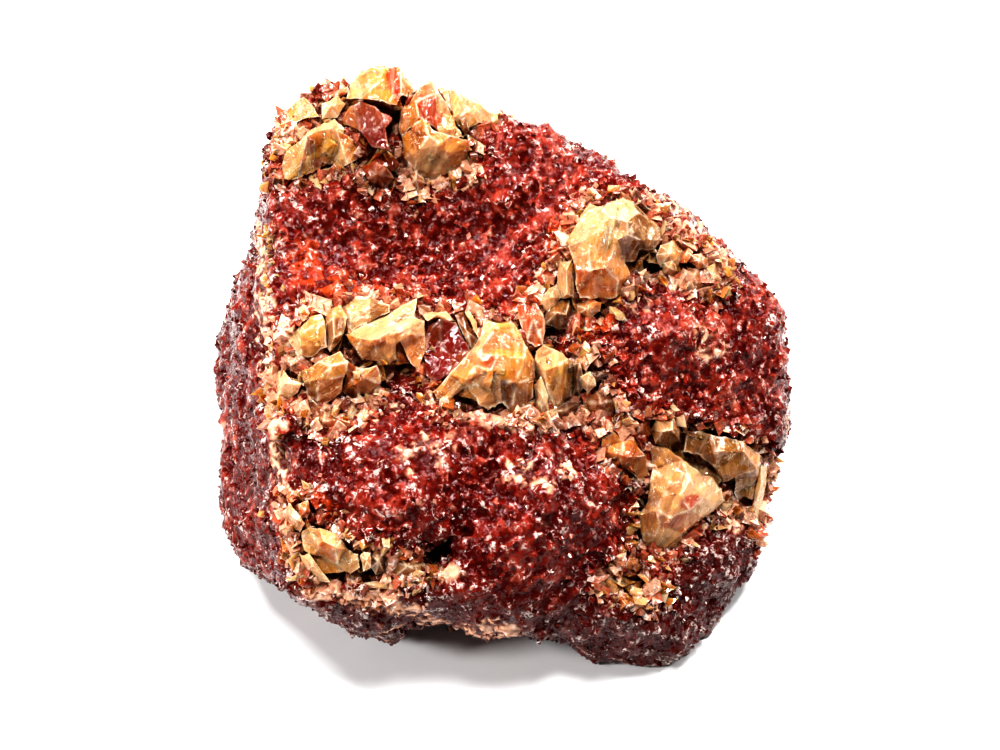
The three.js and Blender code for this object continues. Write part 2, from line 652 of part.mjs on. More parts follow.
function rawCalcite() {
  const group = new THREE.Group();
  const surface = meshOfField(redBody, [-62, -64, -66], [62, 62, 46], SPACING);
  let red = solidOf(surface);
  const grains = spreadOver(surface, GRAIN_COUNT).filter(({ place }) => place.z > 4);
  for (const spot of grains) red = red.add(solidOf(grain(spot)));
  red = red.subtract(boxSolid([300, 300, 60], [0, 0, -30]));
  for (const [name, crystals] of Object.entries(CRYSTALS)) {
    red = red.subtract(clusterBody(crystals, SOCKET_GAP));
    group.add(meshOf(name, clusterBody(crystals), 'honey'));
  }
  group.add(meshOf('red_calcite', largestPiece(red), 'red'));
  const box = new THREE.Box3().setFromObject(group);
  const middle = box.getCenter(new THREE.Vector3());
  group.position.set(-middle.x, -middle.y, -box.min.z);
  return group;
}

const lump = rawCalcite();
export default lump;
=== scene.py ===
# %% [markdown]
# # Raw calcite, dressed for a close look
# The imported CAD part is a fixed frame: a lump of red calcite and eight clusters of honey
# crystals, in metres, standing on Z = 0. This lesson gives each of them the surface of the real
# mineral. A broken face of red calcite is a crust of small glassy grains, and its large
# crystals are cloudy, honey-coloured and frosted white along their edges.

import json
import math
from string import ascii_letters as LETTERS

import bmesh
import bpy
import numpy as np
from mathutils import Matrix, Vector, noise
from mathutils.bvhtree import BVHTree
from mathutils.kdtree import KDTree

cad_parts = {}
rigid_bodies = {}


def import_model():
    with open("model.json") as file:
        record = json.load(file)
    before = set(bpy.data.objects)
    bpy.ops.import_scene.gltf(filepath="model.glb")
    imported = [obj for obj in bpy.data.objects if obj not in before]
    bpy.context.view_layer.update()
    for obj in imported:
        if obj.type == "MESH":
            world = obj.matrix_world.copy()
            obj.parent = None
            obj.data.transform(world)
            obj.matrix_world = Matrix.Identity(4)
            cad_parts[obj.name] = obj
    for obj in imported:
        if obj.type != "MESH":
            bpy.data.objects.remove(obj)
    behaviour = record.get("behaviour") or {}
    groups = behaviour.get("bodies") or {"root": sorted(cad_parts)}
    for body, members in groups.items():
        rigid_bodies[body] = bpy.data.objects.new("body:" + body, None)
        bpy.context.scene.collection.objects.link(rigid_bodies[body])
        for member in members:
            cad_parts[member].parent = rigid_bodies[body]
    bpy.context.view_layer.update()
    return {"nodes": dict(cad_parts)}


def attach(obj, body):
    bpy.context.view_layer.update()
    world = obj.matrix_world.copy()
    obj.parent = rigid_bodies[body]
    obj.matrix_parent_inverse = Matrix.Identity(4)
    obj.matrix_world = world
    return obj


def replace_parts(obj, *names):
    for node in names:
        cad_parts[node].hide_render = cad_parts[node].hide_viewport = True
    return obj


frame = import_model()
MM = 0.001

# %% [markdown]
# ## A way to say where things are
# Most of the detail belongs to the side that a collector puts on show. It is simplest to place
# it as it is seen from there: u millimetres to the right and v millimetres up, measured on a
# plane through the lump's middle, and w towards the viewer. These helpers turn a place in the
# row's frame into (u, v, w) and back, for one point or for a whole array.

# %% The display viewpoint
SIGHT_MIDDLE = np.array([0.32, -2.52, 30.0]) * MM
SIGHT_ELEVATION = math.radians(58)
SIGHT_DISTANCE = 500 * MM
SIGHT_RIGHT = np.array([1.0, 0.0, 0.0])
SIGHT_UP = np.array([0.0, math.sin(SIGHT_ELEVATION), math.cos(SIGHT_ELEVATION)])
SIGHT_NEAR = np.array([0.0, -math.cos(SIGHT_ELEVATION), math.sin(SIGHT_ELEVATION)])


def from_sight(u, v, w):
    """A place in the row's frame, in metres, from (u, v, w) in millimetres."""
    narrowing = 1 - w * MM / SIGHT_DISTANCE
    across = SIGHT_RIGHT * u + SIGHT_UP * v
    return SIGHT_MIDDLE + (across * narrowing + SIGHT_NEAR * w) * MM


def to_sight(places):
    """(u, v, w) in millimetres for an array of places in metres."""
    away = (places - SIGHT_MIDDLE) / MM
    w = away @ SIGHT_NEAR
    narrowing = 1 - w * MM / SIGHT_DISTANCE
    return np.stack([away @ SIGHT_RIGHT / narrowing, away @ SIGHT_UP / narrowing, w], axis=1)


print("Display viewpoint:", np.round(from_sight(0, 0, SIGHT_DISTANCE / MM), 3))

# %% [markdown]
# ## Working on whole meshes at once
# A rock has hundreds of thousands of vertices, so they are read and written as NumPy arrays.
# Two kinds of mesh are needed. A voxel remesh turns a coarse faceted solid into an even skin
# that can be pushed about, and a crust is thousands of small crystals joined in one mesh.

# %% Mesh helpers
def vertex_places(mesh):
    places = np.empty(len(mesh.vertices) * 3)
    mesh.vertices.foreach_get("co", places)
    return places.reshape(-1, 3)


def vertex_normals(mesh):
    normals = np.empty(len(mesh.vertices) * 3)
    mesh.vertex_normals.foreach_get("vector", normals)
    return normals.reshape(-1, 3)


def move_vertices(mesh, places):
    mesh.vertices.foreach_set("co", places.ravel())
    mesh.update()


def paint(mesh, name, values, domain="POINT"):
    """Stores one number for each vertex, or for each face, which a material reads by that name."""
    layer = mesh.attributes.new(name, "FLOAT", domain)
    layer.data.foreach_set("value", np.asarray(values, np.float32))


def put_in_scene(name, data):
    """A new object that holds this mesh, lamp or camera, linked to the scene."""
    holder = bpy.data.objects.new(name, data)
    bpy.context.collection.objects.link(holder)
    return holder


def add_piece(name, mesh, material):
    piece = put_in_scene(name, mesh)
    mesh.materials.clear()
    mesh.materials.append(material)
    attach(piece, "root")
    print(f"{name}: {len(mesh.vertices)} vertices, {len(mesh.polygons)} faces")
    return piece


def with_modifiers(mesh, *stack):
    """A new mesh: this one after a stack of modifiers, each given as (kind, settings)."""
    worker = put_in_scene("worker", mesh)
    for kind, settings in stack:
        modifier = worker.modifiers.new(kind, kind)
        for key, value in settings.items():
            setattr(modifier, key, value)
    seen = worker.evaluated_get(bpy.context.evaluated_depsgraph_get())
    made = bpy.data.meshes.new_from_object(seen)
    bpy.data.objects.remove(worker)
    return made


def even_skin(mesh, voxel, smoothing=0):
    """The same shape made of even quads about one voxel wide, relaxed a little."""
    remesh = ("REMESH", {"mode": "VOXEL", "voxel_size": voxel * MM})
    relax = ("SMOOTH", {"factor": 0.5, "iterations": smoothing})
    return with_modifiers(mesh, remesh, relax)


def opened(*meshes):
    """A bmesh, which can be edited, with the faces of one mesh or of several."""
    solid = bmesh.new()
    for mesh in meshes:
        solid.from_mesh(mesh)
    return solid


def closed(solid, name):
    """A new mesh from a bmesh, which is then let go."""
    made = bpy.data.meshes.new(name)
    solid.to_mesh(made)
    solid.free()
    return made


def joined(name, *meshes):
    """One mesh that holds the faces of several."""
    return closed(opened(*meshes), name)


def welded(mesh, distance=0.005, shortest=0.01):
    """The same solid with the vertices that lie within distance millimetres made one."""
    solid = opened(mesh)
    bmesh.ops.remove_doubles(solid, verts=solid.verts, dist=distance * MM)
    bmesh.ops.dissolve_degenerate(solid, edges=solid.edges, dist=shortest * MM)
    return closed(solid, mesh.name)


def finely_cut(mesh, longest, passes=6):
    """The same flat faces, cut into triangles with edges up to about longest millimetres."""
    solid = opened(mesh)
    for _ in range(passes):
        bmesh.ops.triangulate(solid, faces=solid.faces, quad_method="SHORT_EDGE")
        long_edges = [edge for edge in solid.edges if edge.calc_length() > longest * MM]
        bmesh.ops.subdivide_edges(solid, edges=long_edges, cuts=1)
    bmesh.ops.triangulate(solid, faces=solid.faces, quad_method="SHORT_EDGE")
    return closed(solid, mesh.name)


def crisp_shading(mesh, angle):
    """Smooth shading, except across edges sharper than angle in degrees."""
    mesh.shade_smooth()
    mesh.set_sharp_from_angle(angle=math.radians(angle))


# %% [markdown]
# Calcite cleaves into rhombs: three pairs of faces whose edges all meet at 78 or 102 degrees.
# One rhomb with unit edges is the seed of all the small crystals here. It stands on its blunt
# corner, as a grain does in a crust.

# %% Crusts of rhombs
CLEAVAGE_ANGLE = math.radians(78)
CORNERS = [(i, j, k) for k in (-0.5, 0.5) for j in (-0.5, 0.5) for i in (-0.5, 0.5)]
CORNER_COUNT = len(CORNERS)
RHOMB_FACES = np.array([
    [0, 2, 3, 1], [4, 5, 7, 6], [0, 1, 5, 4], [2, 6, 7, 3], [0, 4, 6, 2], [1, 3, 7, 5],
])


def standing_rhomb():
    """Eight corners of a rhomb with unit edges that stands on its blunt corner."""
    lean = math.sqrt((1 - math.cos(CLEAVAGE_ANGLE)) / 1.5)
    rise = math.sqrt(1 - lean * lean)
    turns = (0, math.tau / 3, 2 * math.tau / 3)
    edges = np.array([(lean * math.cos(turn), lean * math.sin(turn), rise) for turn in turns])
    return CORNERS @ edges


STANDING = standing_rhomb()


def turned_to(normals, guides):
    """A rotation for each normal: local Z along the normal and local X along the guide."""
    z = normals / np.linalg.norm(normals, axis=1, keepdims=True)
    x = guides - z * np.sum(guides * z, axis=1, keepdims=True)
    x /= np.linalg.norm(x, axis=1, keepdims=True) + 1e-9
    return np.stack([x, np.cross(z, x), z], axis=2)


def crust_mesh(name, shape, places, turns, sizes, uneven=0):
    """One mesh with a rhomb at each place. sizes holds three lengths in metres for each.

    uneven moves each corner by up to that share of the size, for broken pieces.
    """
    broken = np.random.default_rng(7).uniform(-1, 1, (len(places), CORNER_COUNT, 3))
    seeds = shape[None] + uneven * broken
    corners = np.einsum("nij,nkj->nki", turns, seeds * sizes[:, None, :]) + places[:, None, :]
    faces = RHOMB_FACES[None] + CORNER_COUNT * np.arange(len(places))[:, None, None]
    mesh = bpy.data.meshes.new(name)
    mesh.vertices.add(corners.size // 3)
    mesh.vertices.foreach_set("co", corners.ravel())
    mesh.loops.add(faces.size)
    mesh.loops.foreach_set("vertex_index", faces.ravel())
    mesh.polygons.add(faces.size // 4)
    mesh.polygons.foreach_set("loop_start", np.arange(0, faces.size, 4))
    mesh.update(calc_edges=True)
    return mesh


def paint_crystals(mesh, numbers):
    """Paints each number of a small crystal on all of its corners, and shades the faces flat."""
    for name, values in numbers.items():
        paint(mesh, name, np.repeat(values, CORNER_COUNT))
    mesh.shade_flat()


print("Rhomb edge:", round(float(np.linalg.norm(STANDING[1] - STANDING[0])), 3))

# %% [markdown]
# ## Noise and soft shapes
# Nothing on a natural lump has a clean outline. These helpers give smooth noise at any size,
# and masks that fade out from a spot or a path in (u, v).

# %% Noise and masks
def fray(places, size, seed):
    """Smooth noise from about -1 to 1 at each place, with lumps about size millimetres wide."""
    shift = Vector((seed * 17.3, seed * 5.1, seed * 9.7))
    return np.array([noise.noise(Vector(p) + shift) for p in places / (size * MM)])


def ramp(low, high, values):
    """0 at low and 1 at high, with a smooth run between them."""
    t = np.clip((values - low) / (high - low), 0, 1)
    return t * t * (3 - 2 * t)


def patch(sight, u, v, wide, tall, lean=0):
    """1 at the middle of an ellipse in (u, v), falling to 0 at its rim. lean is in degrees."""
    turn = math.radians(lean)
    du, dv = sight[:, 0] - u, sight[:, 1] - v
    along = du * math.cos(turn) + dv * math.sin(turn)
    across = dv * math.cos(turn) - du * math.sin(turn)
    return np.clip(1 - (along / wide) ** 2 - (across / tall) ** 2, 0, 1)


def patches(sight, spots, edge):
    """The strongest of many patches at each place, with their rims frayed by edge."""
    mask = np.zeros(len(sight))
    for u, v, wide, tall, lean, strength in spots:
        away = (sight[:, 0] - u) ** 2 + (sight[:, 1] - v) ** 2
        near = np.flatnonzero(away < (2 * max(wide, tall)) ** 2)
        spot = patch(sight[near], u, v, wide, tall, lean)
        spot = strength * ramp(0.02, 0.6, spot + edge[near] * (spot > 0))
        mask[near] = np.maximum(mask[near], spot)
    return mask


def near_path(sight, path):
    """Distance in millimetres from each (u, v) to a path of straight stretches."""
    nearest = np.full(len(sight), np.inf)
    for start, end in zip(path[:-1], path[1:]):
        start, run = np.array(start), np.subtract(end, start)
        t = np.clip((sight[:, :2] - start) @ run / (run @ run), 0, 1)
        off_path = sight[:, :2] - start - t[:, None] * run
        nearest = np.minimum(nearest, np.linalg.norm(off_path, axis=1))
    return nearest


# %% [markdown]
# ## Where the colours change
# Iron oxide colours this calcite, and it isn't spread evenly. The display side is deep red. Pale
# calcite borders the big crystals and edges the ledges, orange stain soaks in beside them, and
# the outer flanks are worn by the weather to a dull grey purple. That flank mask also paints shade:
# faces turned from the viewer, the bottom band and the far right are painted darker. Each of these
# is a mask from 0 to 1.

# %% Zones of the red rock
# u, v, half width, half height, lean in degrees, strength
PALE_PATCHES = [
    (-9, 36.5, 6, 3.5, 0, 1.0), (-17.5, 34, 2.5, 7, 10, 0.5), (-28, 11.5, 9, 2.5, 5, 0.7),
    (3, -9.5, 13, 3.5, -8, 0.65), (-9, -6, 5, 3, 30, 0.6), (-30, -8, 13, 3.5, 8, 0.5),
    (-35, -36, 8, 6, -30, 0.8), (-15, -38.5, 9, 2.2, -8, 0.9), (-3, -50, 8, 2.5, 0, 0.7),
    (7, -19.6, 10, 5, 10, 0.3), (-14, -15, 9, 5, 30, 0.25), (39, 5, 7, 4, -20, 0.35),
    (33, 18, 8, 4, -10, 0.7), (44, -27, 4, 6, 20, 0.7), (33, 30, 9, 3.5, -38, 0.5),
    (20, -13, 9, 2.5, -25, 0.6), (-39, 45, 6, 5, 40, 0.6), (9, 16, 4, 5, 60, 0.5),
    (24, -41, 8, 3, -10, 0.5), (26, 12, 5, 4, -30, 0.3),
]
PALE_SEAMS = [
    [(-45.6, 26), (-45, 7), (-43.5, -10), (-41.5, -24), (-39, -37)],
    [(-36, -43), (-26, -44.5), (-18, -46), (-10, -50)],
]
STAIN_PATCHES = [
    (-32, 15.5, 9, 3, -6, 0.9), (-20, 13.5, 7, 2.4, 0, 0.6), (6.5, 13, 5, 6, -20, 1.0),
    (11.5, 24, 3.5, 6, 0, 0.9), (25, -14, 7, 4, -30, 0.9), (-27, -36.5, 9, 3, -12, 0.8),
    (-37, 21, 5, 5, 0, 0.7), (-36, -28, 6, 6, 0, 0.7), (17, 8, 5, 3, 0, 0.8),
    (36, -29, 4, 3, 40, 0.8),
]


def speckled(mask, luck):
    """A mask as whole grains. Each is in or out by its own luck, and mostly in where it is high."""
    return ramp(-0.12, 0.12, mask - luck)


def rock_zones(places, normals, luck):
    """How pale, stained and weather-worn the red rock is, and where shade is painted on. luck is
    each grain's number from 0 to 1.
    """
    sight = to_sight(places)
    facing = normals @ SIGHT_NEAR
    shown = ramp(0.1, 0.45, facing)
    coarse, fine = fray(places, 9, 1), fray(places, 2.5, 2)
    edge = 0.35 * coarse + 0.4 * fine
    pale = patches(sight, PALE_PATCHES, edge)
    for seam in PALE_SEAMS:
        pale = np.maximum(pale, ramp(2.4, 0.2, near_path(sight, seam) - 1.2 * fine) * 0.75)
    # The flanks are weather-worn and also painted darker as painted shade: faces turned from the
    # viewer, the bottom band and the far right.
    flanks = ramp(0.62, 0.25, facing + 0.25 * coarse)
    flanks = np.maximum(flanks, ramp(-40, -46, sight[:, 1] + 4 * coarse))
    flanks = np.maximum(flanks, ramp(44, 52, sight[:, 0] * 0.85 - sight[:, 1] * 0.53 + 5 * coarse))
    far_pale = (1 - shown) * ramp(0.45, 0.75, fray(places, 14, 3) + 0.4 * fine) * 0.8
    return {
        "pale": speckled(np.maximum(pale * shown, far_pale), 0.1 + 0.8 * luck),
        "stain": patches(sight, STAIN_PATCHES, 2 * edge) * shown,
        "weatheredshade": np.clip(flanks * (0.75 + 0.35 * fine), 0, 1),
    }


# %% [markdown]
# ## The body of the red rock
# The CAD solid has the lump's broad faces, ledges and hollows. Its copy is remeshed and relaxed
# so that its facets don't show, then pushed along its normals: rounded lumps that meet in
# creases, and the real cracks. Moving vertices was chosen over a bump map because creases made
# this way cast shadows and break up the outline.

# %% Lumps, creases and cracks
BODY_VOXEL = 0.9
CRACKS = [
    # path in (u, v), depth, half width
    ([(17, -4), (22, -8.5), (27, -10.5), (37, -11.5), (45, -14), (52, -18)], 3.0, 1.1),
    ([(28, -12), (29.5, -21), (27, -27), (25.5, -36)], 2.8, 1.1),
    ([(-15, -37.2), (-10.5, -34.8), (-6, -30.5)], 2.8, 1.3),
    ([(-13, -36), (-9.5, -34.8)], 3.0, 1.9),
]


def crease_rock(mesh):
    places, normals = vertex_places(mesh), vertex_normals(mesh)
    sight, shown = to_sight(places), ramp(0.1, 0.4, normals @ SIGHT_NEAR)
    broad, lumps, knobs = fray(places, 14, 3), fray(places, 6.5, 4), fray(places, 3, 5)
    push = 1.3 * broad + 1.3 * np.abs(lumps) + 0.7 * np.abs(knobs) - 0.9
    for path, depth, half_width in CRACKS:
        push -= depth * ramp(half_width, 0.2, near_path(sight, path)) * shown
    push *= ramp(0, 2.5, places[:, 2] / MM)
    move_vertices(mesh, places + normals * (push * MM)[:, None])


rock_body = even_skin(frame["nodes"]["red_calcite"].data, BODY_VOXEL, smoothing=2)
crease_rock(rock_body)
print("Rock body:", len(rock_body.vertices), "vertices")

# %% [markdown]
# ## The crust that covers it
# A broken face of red calcite is a crust of rhombs, each a millimetre or two wide, grown into
# each other. To plant them evenly, a second remesh whose voxels are one grain wide gives one
# place for each. Neighbours share a direction, as grains that grew together do. The rhombs and
# the body are then fused by a fine remesh, and decimated, which spends the triangles on edges
# and crevices and leaves the cleavage faces flat.

# %% Plant the crust
CRUST_SPACING = 1.45
FUSE_VOXEL = 0.38
ROCK_TRIANGLES = 195000
rng = np.random.default_rng(20)


def grown_together(places, normals, size, looseness):
    """Directions for the rhombs of a crust that change slowly over about size millimetres."""
    swing = np.stack([fray(places, size, seed) for seed in (31, 32, 33)], axis=1)
    lean = 1.1 * swing + rng.normal(0, looseness, places.shape)
    guide = np.stack([fray(places, size * 1.5, seed) for seed in (34, 35, 36)], axis=1)
    return turned_to(normals + lean, guide + rng.normal(0, looseness * 0.5, places.shape))


def plant(name, places, normals, edges, stand, size=5, looseness=0.25, uneven=0):
    """A crust of standing rhombs with these edges, sunk until they stand this far proud."""
    half_height = edges.max(axis=1) * 0.75
    sunk = places + normals * (stand - half_height)[:, None]
    turns = grown_together(places, normals, size, looseness)
    return crust_mesh(name, STANDING, sunk, turns, edges, uneven)


def in_crack(places, normals):
    """1 in the middle of a crack of the display side, 0 outside the cracks."""
    sight, shown = to_sight(places), ramp(0.1, 0.4, normals @ SIGHT_NEAR)
    middles = [ramp(wide * 0.9, 0.3, near_path(sight, path)) for path, _, wide in CRACKS]
    return np.max(middles, axis=0) * shown


crust_bed = even_skin(rock_body, CRUST_SPACING)
crust_places, crust_normals = vertex_places(crust_bed), vertex_normals(crust_bed)
whole = in_crack(crust_places, crust_normals) < 0.4
crust_places, crust_normals = crust_places[whole], crust_normals[whole]
crust_places = crust_places + rng.normal(0, CRUST_SPACING * 0.25 * MM, crust_places.shape)
crust_count = len(crust_places)
crust_edges = rng.lognormal(math.log(CRUST_SPACING * 1.25), 0.25, (crust_count, 1)) * MM
crust_edges = crust_edges * rng.uniform(0.75, 1.15, (crust_count, 3))
crust_stand = rng.uniform(-0.1, 0.38, crust_count) * MM
planted = plant("planted", crust_places, crust_normals, crust_edges, crust_stand)
rock_mesh = even_skin(joined("rock_with_crust", rock_body, planted), FUSE_VOXEL)
print("Crust:", crust_count, "rhombs, fused into", len(rock_mesh.polygons), "faces")

# %% Thin the flat faces out
share = min(1, ROCK_TRIANGLES / (2 * len(rock_mesh.polygons)))
rock_mesh = with_modifiers(rock_mesh, ("TRIANGULATE", {}), ("DECIMATE", {"ratio": share}))
rock_places = vertex_places(rock_mesh)
rock_places[:, 2] = np.maximum(rock_places[:, 2], 0)
move_vertices(rock_mesh, rock_places)
crisp_shading(rock_mesh, 38)
print("Rock mesh:", len(rock_mesh.polygons), "triangles")


# %% Paint the rock
def search_tree(points):
    tree = KDTree(len(points))
    for index, point in enumerate(points):
        tree.insert(point, index)
    tree.balance()
    return tree


def surface_tree(mesh):
    points = [vertex.co.copy() for vertex in mesh.vertices]
    return BVHTree.FromPolygons(points, [face.vertices[:] for face in mesh.polygons])


def hollows(mesh, rounds=8, deepest=0.5):
    """0.5 on level ground, towards 1 down in a hollow and towards 0 on a tip or an edge."""
    places, ends = vertex_places(mesh), np.empty(len(mesh.edges) * 2, int)
    mesh.edges.foreach_get("vertices", ends)
    ends = np.concatenate([ends.reshape(-1, 2), ends.reshape(-1, 2)[:, ::-1]])
    count = np.maximum(np.bincount(ends[:, 0], minlength=len(places)), 1)[:, None]
    relaxed = places
    for _ in range(rounds):
        linked = relaxed[ends[:, 1]]
        sums = [np.bincount(ends[:, 0], linked[:, axis], len(places)) for axis in range(3)]
        relaxed = 0.5 * relaxed + 0.5 * np.stack(sums, axis=1) / count
    sunk = np.sum((relaxed - places) * vertex_normals(mesh), axis=1) / MM
    return np.clip(0.5 + sunk / deepest, 0, 1)


ODD_DARK, ODD_BRIGHT = 0.06, 0.985


def grain_tones(places):
    """A tone from 0 to 1 for each grain. It drifts slowly, and a few grains stand out."""
    sight = to_sight(places)
    drift = 0.46 + 0.22 * fray(places, 11, 8) + 0.16 * fray(places, 4, 9)
    drift = drift + 0.12 * ramp(-20, 25, sight[:, 1] + 0.4 * sight[:, 0]) - 0.04
    tone = np.clip(drift + rng.normal(0, 0.1, len(places)), 0.05, 0.8)
    odd = rng.random(len(places))
    tone = np.where(odd < ODD_DARK, tone * 0.3, tone)
    return np.where(odd > ODD_BRIGHT, rng.uniform(0.85, 1.0, len(places)), tone)


grain_of = search_tree(crust_places)
tones = grain_tones(crust_places)
nearest = [grain_of.find(place)[1] for place in rock_places]
paint(rock_mesh, "tone", tones[nearest])
# The hollow number also paints shade: hollows and cracks are darkened in the red calcite.
in_cracks = in_crack(rock_places, vertex_normals(rock_mesh))
paint(rock_mesh, "hollow", np.maximum(hollows(rock_mesh), 0.5 + 0.5 * in_cracks))
grain_luck = rng.random(crust_count)
for zone, values in rock_zones(rock_places, vertex_normals(rock_mesh), grain_luck[nearest]).items():
    paint(rock_mesh, zone, values)
print("Grain tones from", round(float(tones.min()), 2), "to", round(float(tones.max()), 2))

# %% [markdown]
# ## Shader groups that several finishes share
# "Zone colour" mixes the colours of the red rock by the painted masks, painted shade and painted
# highlights among them. "Cloudy veils" is the milky haze inside calcite. The winding lines group
# gives thin white lines that wander over a broken face, partly frosted calcite and partly painted
# highlights for glints. "Cleavage facets" is the sparkle: every cell of a Voronoi texture becomes a
# small flat face with a tilt of its own. They are node groups, so each material sets only its own
# amounts.

# %% Node helpers
def new_group(name, inputs, outputs):
    """A node group with named sockets. Returns it with its input and output nodes."""
    group = bpy.data.node_groups.new(name, "ShaderNodeTree")
    for socket, kind, default in inputs:
        made = group.interface.new_socket(socket, in_out="INPUT", socket_type=kind)
        made.default_value = default
    for socket, kind in outputs:
        group.interface.new_socket(socket, in_out="OUTPUT", socket_type=kind)
    return group, group.nodes.new("NodeGroupInput"), group.nodes.new("NodeGroupOutput")


def feed(tree, socket, value):
    """Links a socket to value if value is a socket, and otherwise sets it."""
    if isinstance(value, bpy.types.NodeSocket):
        tree.links.new(value, socket)
    else:
        socket.default_value = value


def add_node(tree, kind, inputs=None, **settings):
    """A new node with these settings. inputs maps its sockets' names to values or sockets."""
    node = tree.nodes.new(kind)
    for key, value in settings.items():
        setattr(node, key, value)
    for socket, value in (inputs or {}).items():
        feed(tree, node.inputs[socket], value)
    return node


def mix_colour(tree, factor, first, second):
    node = add_node(tree, "ShaderNodeMix", data_type="RGBA")
    for number, value in ((0, factor), (6, first), (7, second)):
        feed(tree, node.inputs[number], value)
    return node.outputs[2]


def calculate(tree, operation, first, second=0.0, clamp=False):
    """A Math node."""
    inputs, settings = {0: first, 1: second}, {"operation": operation, "use_clamp": clamp}
    return add_node(tree, "ShaderNodeMath", inputs, **settings).outputs[0]


def combine(tree, operation, first, second=0.0):
    """A Math node for masks, clamped from 0 to 1."""
    return calculate(tree, operation, first, second, clamp=True)


def calculate_vector(tree, operation, first, second):
    """The outputs of a Vector Math node. SCALE takes a number as its second input."""
    inputs = {0: first, "Scale" if operation == "SCALE" else 1: second}
    return add_node(tree, "ShaderNodeVectorMath", inputs, operation=operation).outputs


def remap(tree, value, low, high, to_low=0.0, to_high=1.0):
    """Eases a value from one range to another."""
    inputs = {"Value": value, "From Min": low, "From Max": high}
    inputs.update({"To Min": to_low, "To Max": to_high})
    node = add_node(tree, "ShaderNodeMapRange", inputs, interpolation_type="SMOOTHSTEP")
    return node.outputs[0]


def noise_mask(tree, where, scale, detail=3.0, roughness=0.55, distortion=0.0):
    inputs = {"Vector": where, "Scale": scale, "Detail": detail}
    inputs.update({"Roughness": roughness, "Distortion": distortion})
    return add_node(tree, "ShaderNodeTexNoise", inputs).outputs[0]


def object_place(tree):
    """The place on the object, in metres. The pieces never move apart, so it never slides."""
    return tree.nodes.new("ShaderNodeTexCoord").outputs["Object"]


def painted(tree, name):
    """The number of that name that was painted on the mesh."""
    return add_node(tree, "ShaderNodeAttribute", attribute_name=name).outputs["Fac"]


def use_group(tree, group, **inputs):
    inputs = {name.replace("_", " "): value for name, value in inputs.items()}
    return add_node(tree, "ShaderNodeGroup", inputs, node_tree=group).outputs[0]


# %% Zone colour
RED_TONES = [
    (0.0, (0.055, 0.002, 0.0015, 1)), (0.3, (0.125, 0.008, 0.004, 1)),
    (0.55, (0.235, 0.027, 0.013, 1)), (0.8, (0.38, 0.09, 0.055, 1)), (1.0, (0.6, 0.3, 0.22, 1)),
]
# Among these, the dark colour for hollows and cracks is painted shade. The white one is partly
# frosted calcite and partly painted highlight. The dark flank colour is worn rock and painted
# shade.
ZONES = {
    "Weatheredshade": (0.06, 0.006, 0.004, 1), "Stain": (0.42, 0.06, 0.01, 1),
    "Pale": (0.78, 0.45, 0.3, 1), "Frost": (0.95, 0.84, 0.77, 1),
    "Hollow": (0.075, 0.002, 0.001, 1),
}


def make_zone_colour():
    inputs = [("Tone", "NodeSocketFloat", 0.5)] + [(zone, "NodeSocketFloat", 0.0) for zone in ZONES]
    group, given, result = new_group("Zone colour", inputs, [("Color", "NodeSocketColor")])
    reds = add_node(group, "ShaderNodeValToRGB", {0: given.outputs["Tone"]})
    stops = reds.color_ramp.elements
    stops[0].color, stops[1].color = RED_TONES[0][1], RED_TONES[-1][1]
    for position, colour in RED_TONES[1:-1]:
        stops.new(position).color = colour
    colour = reds.outputs[0]
    for zone, zone_colour in ZONES.items():
        colour = mix_colour(group, given.outputs[zone], colour, zone_colour)
    group.links.new(colour, result.inputs["Color"])
    return group


ZONE_COLOUR = make_zone_colour()


# %% Cloudy veils
def make_cloudy_veils():
    inputs = [("Scale", "NodeSocketFloat", 120.0), ("Cover", "NodeSocketFloat", 0.5)]
    group, given, result = new_group("Cloudy veils", inputs, [("Veil", "NodeSocketFloat")])
    where, scale = object_place(group), given.outputs["Scale"]
    haze = noise_mask(group, where, scale, detail=5.0, roughness=0.62, distortion=0.6)
    veil = combine(group, "MULTIPLY", remap(group, haze, 0.4, 0.7), given.outputs["Cover"])
    group.links.new(veil, result.inputs["Veil"])
    return group


CLOUDY_VEILS = make_cloudy_veils()


# %% Winding lines, frosted and glinting
def make_winding_frost_and_glints():
    """Thin white lines, partly frosted calcite and partly painted highlights: where one noise
    crosses its middle value, broken up by another.
    """
    inputs = [("Scale", "NodeSocketFloat", 900.0), ("Width", "NodeSocketFloat", 0.03)]
    group, given, result = new_group("Winding frost", inputs, [("Frost", "NodeSocketFloat")])
    where = object_place(group)
    level = noise_mask(
        group, where, given.outputs["Scale"], detail=2.0, roughness=0.5, distortion=0.8,
    )
    off_middle = calculate(group, "ABSOLUTE", calculate(group, "SUBTRACT", level, 0.5))
    line = calculate(group, "DIVIDE", off_middle, given.outputs["Width"])
    line = remap(group, line, 1.0, 0.3)
    broken = remap(group, noise_mask(group, where, 500.0, detail=2.0), 0.45, 0.6)
    group.links.new(combine(group, "MULTIPLY", line, broken), result.inputs["Frost"])
    return group


WINDING_FROST_AND_GLINTS = make_winding_frost_and_glints()


# %% Cleavage facets
def make_cleavage_facets():
    """Height in metres. A cell's height rises steadily in its own random direction."""
    inputs = [("Scale", "NodeSocketFloat", 900.0), ("Tilt", "NodeSocketFloat", 0.5)]
    group, given, result = new_group("Cleavage facets", inputs, [("Height", "NodeSocketFloat")])
    where = object_place(group)
    spacing = {"Vector": where, "Scale": given.outputs["Scale"]}
    cells = add_node(group, "ShaderNodeTexVoronoi", spacing).outputs
    from_middle = calculate_vector(group, "SUBTRACT", where, cells["Position"])[0]
    lean = calculate_vector(group, "SUBTRACT", cells["Color"], (0.5, 0.5, 0.5))[0]
    lean = calculate_vector(group, "SCALE", lean, given.outputs["Tilt"])[0]
    height = calculate_vector(group, "DOT_PRODUCT", from_middle, lean)["Value"]
    group.links.new(height, result.inputs["Height"])
    return group


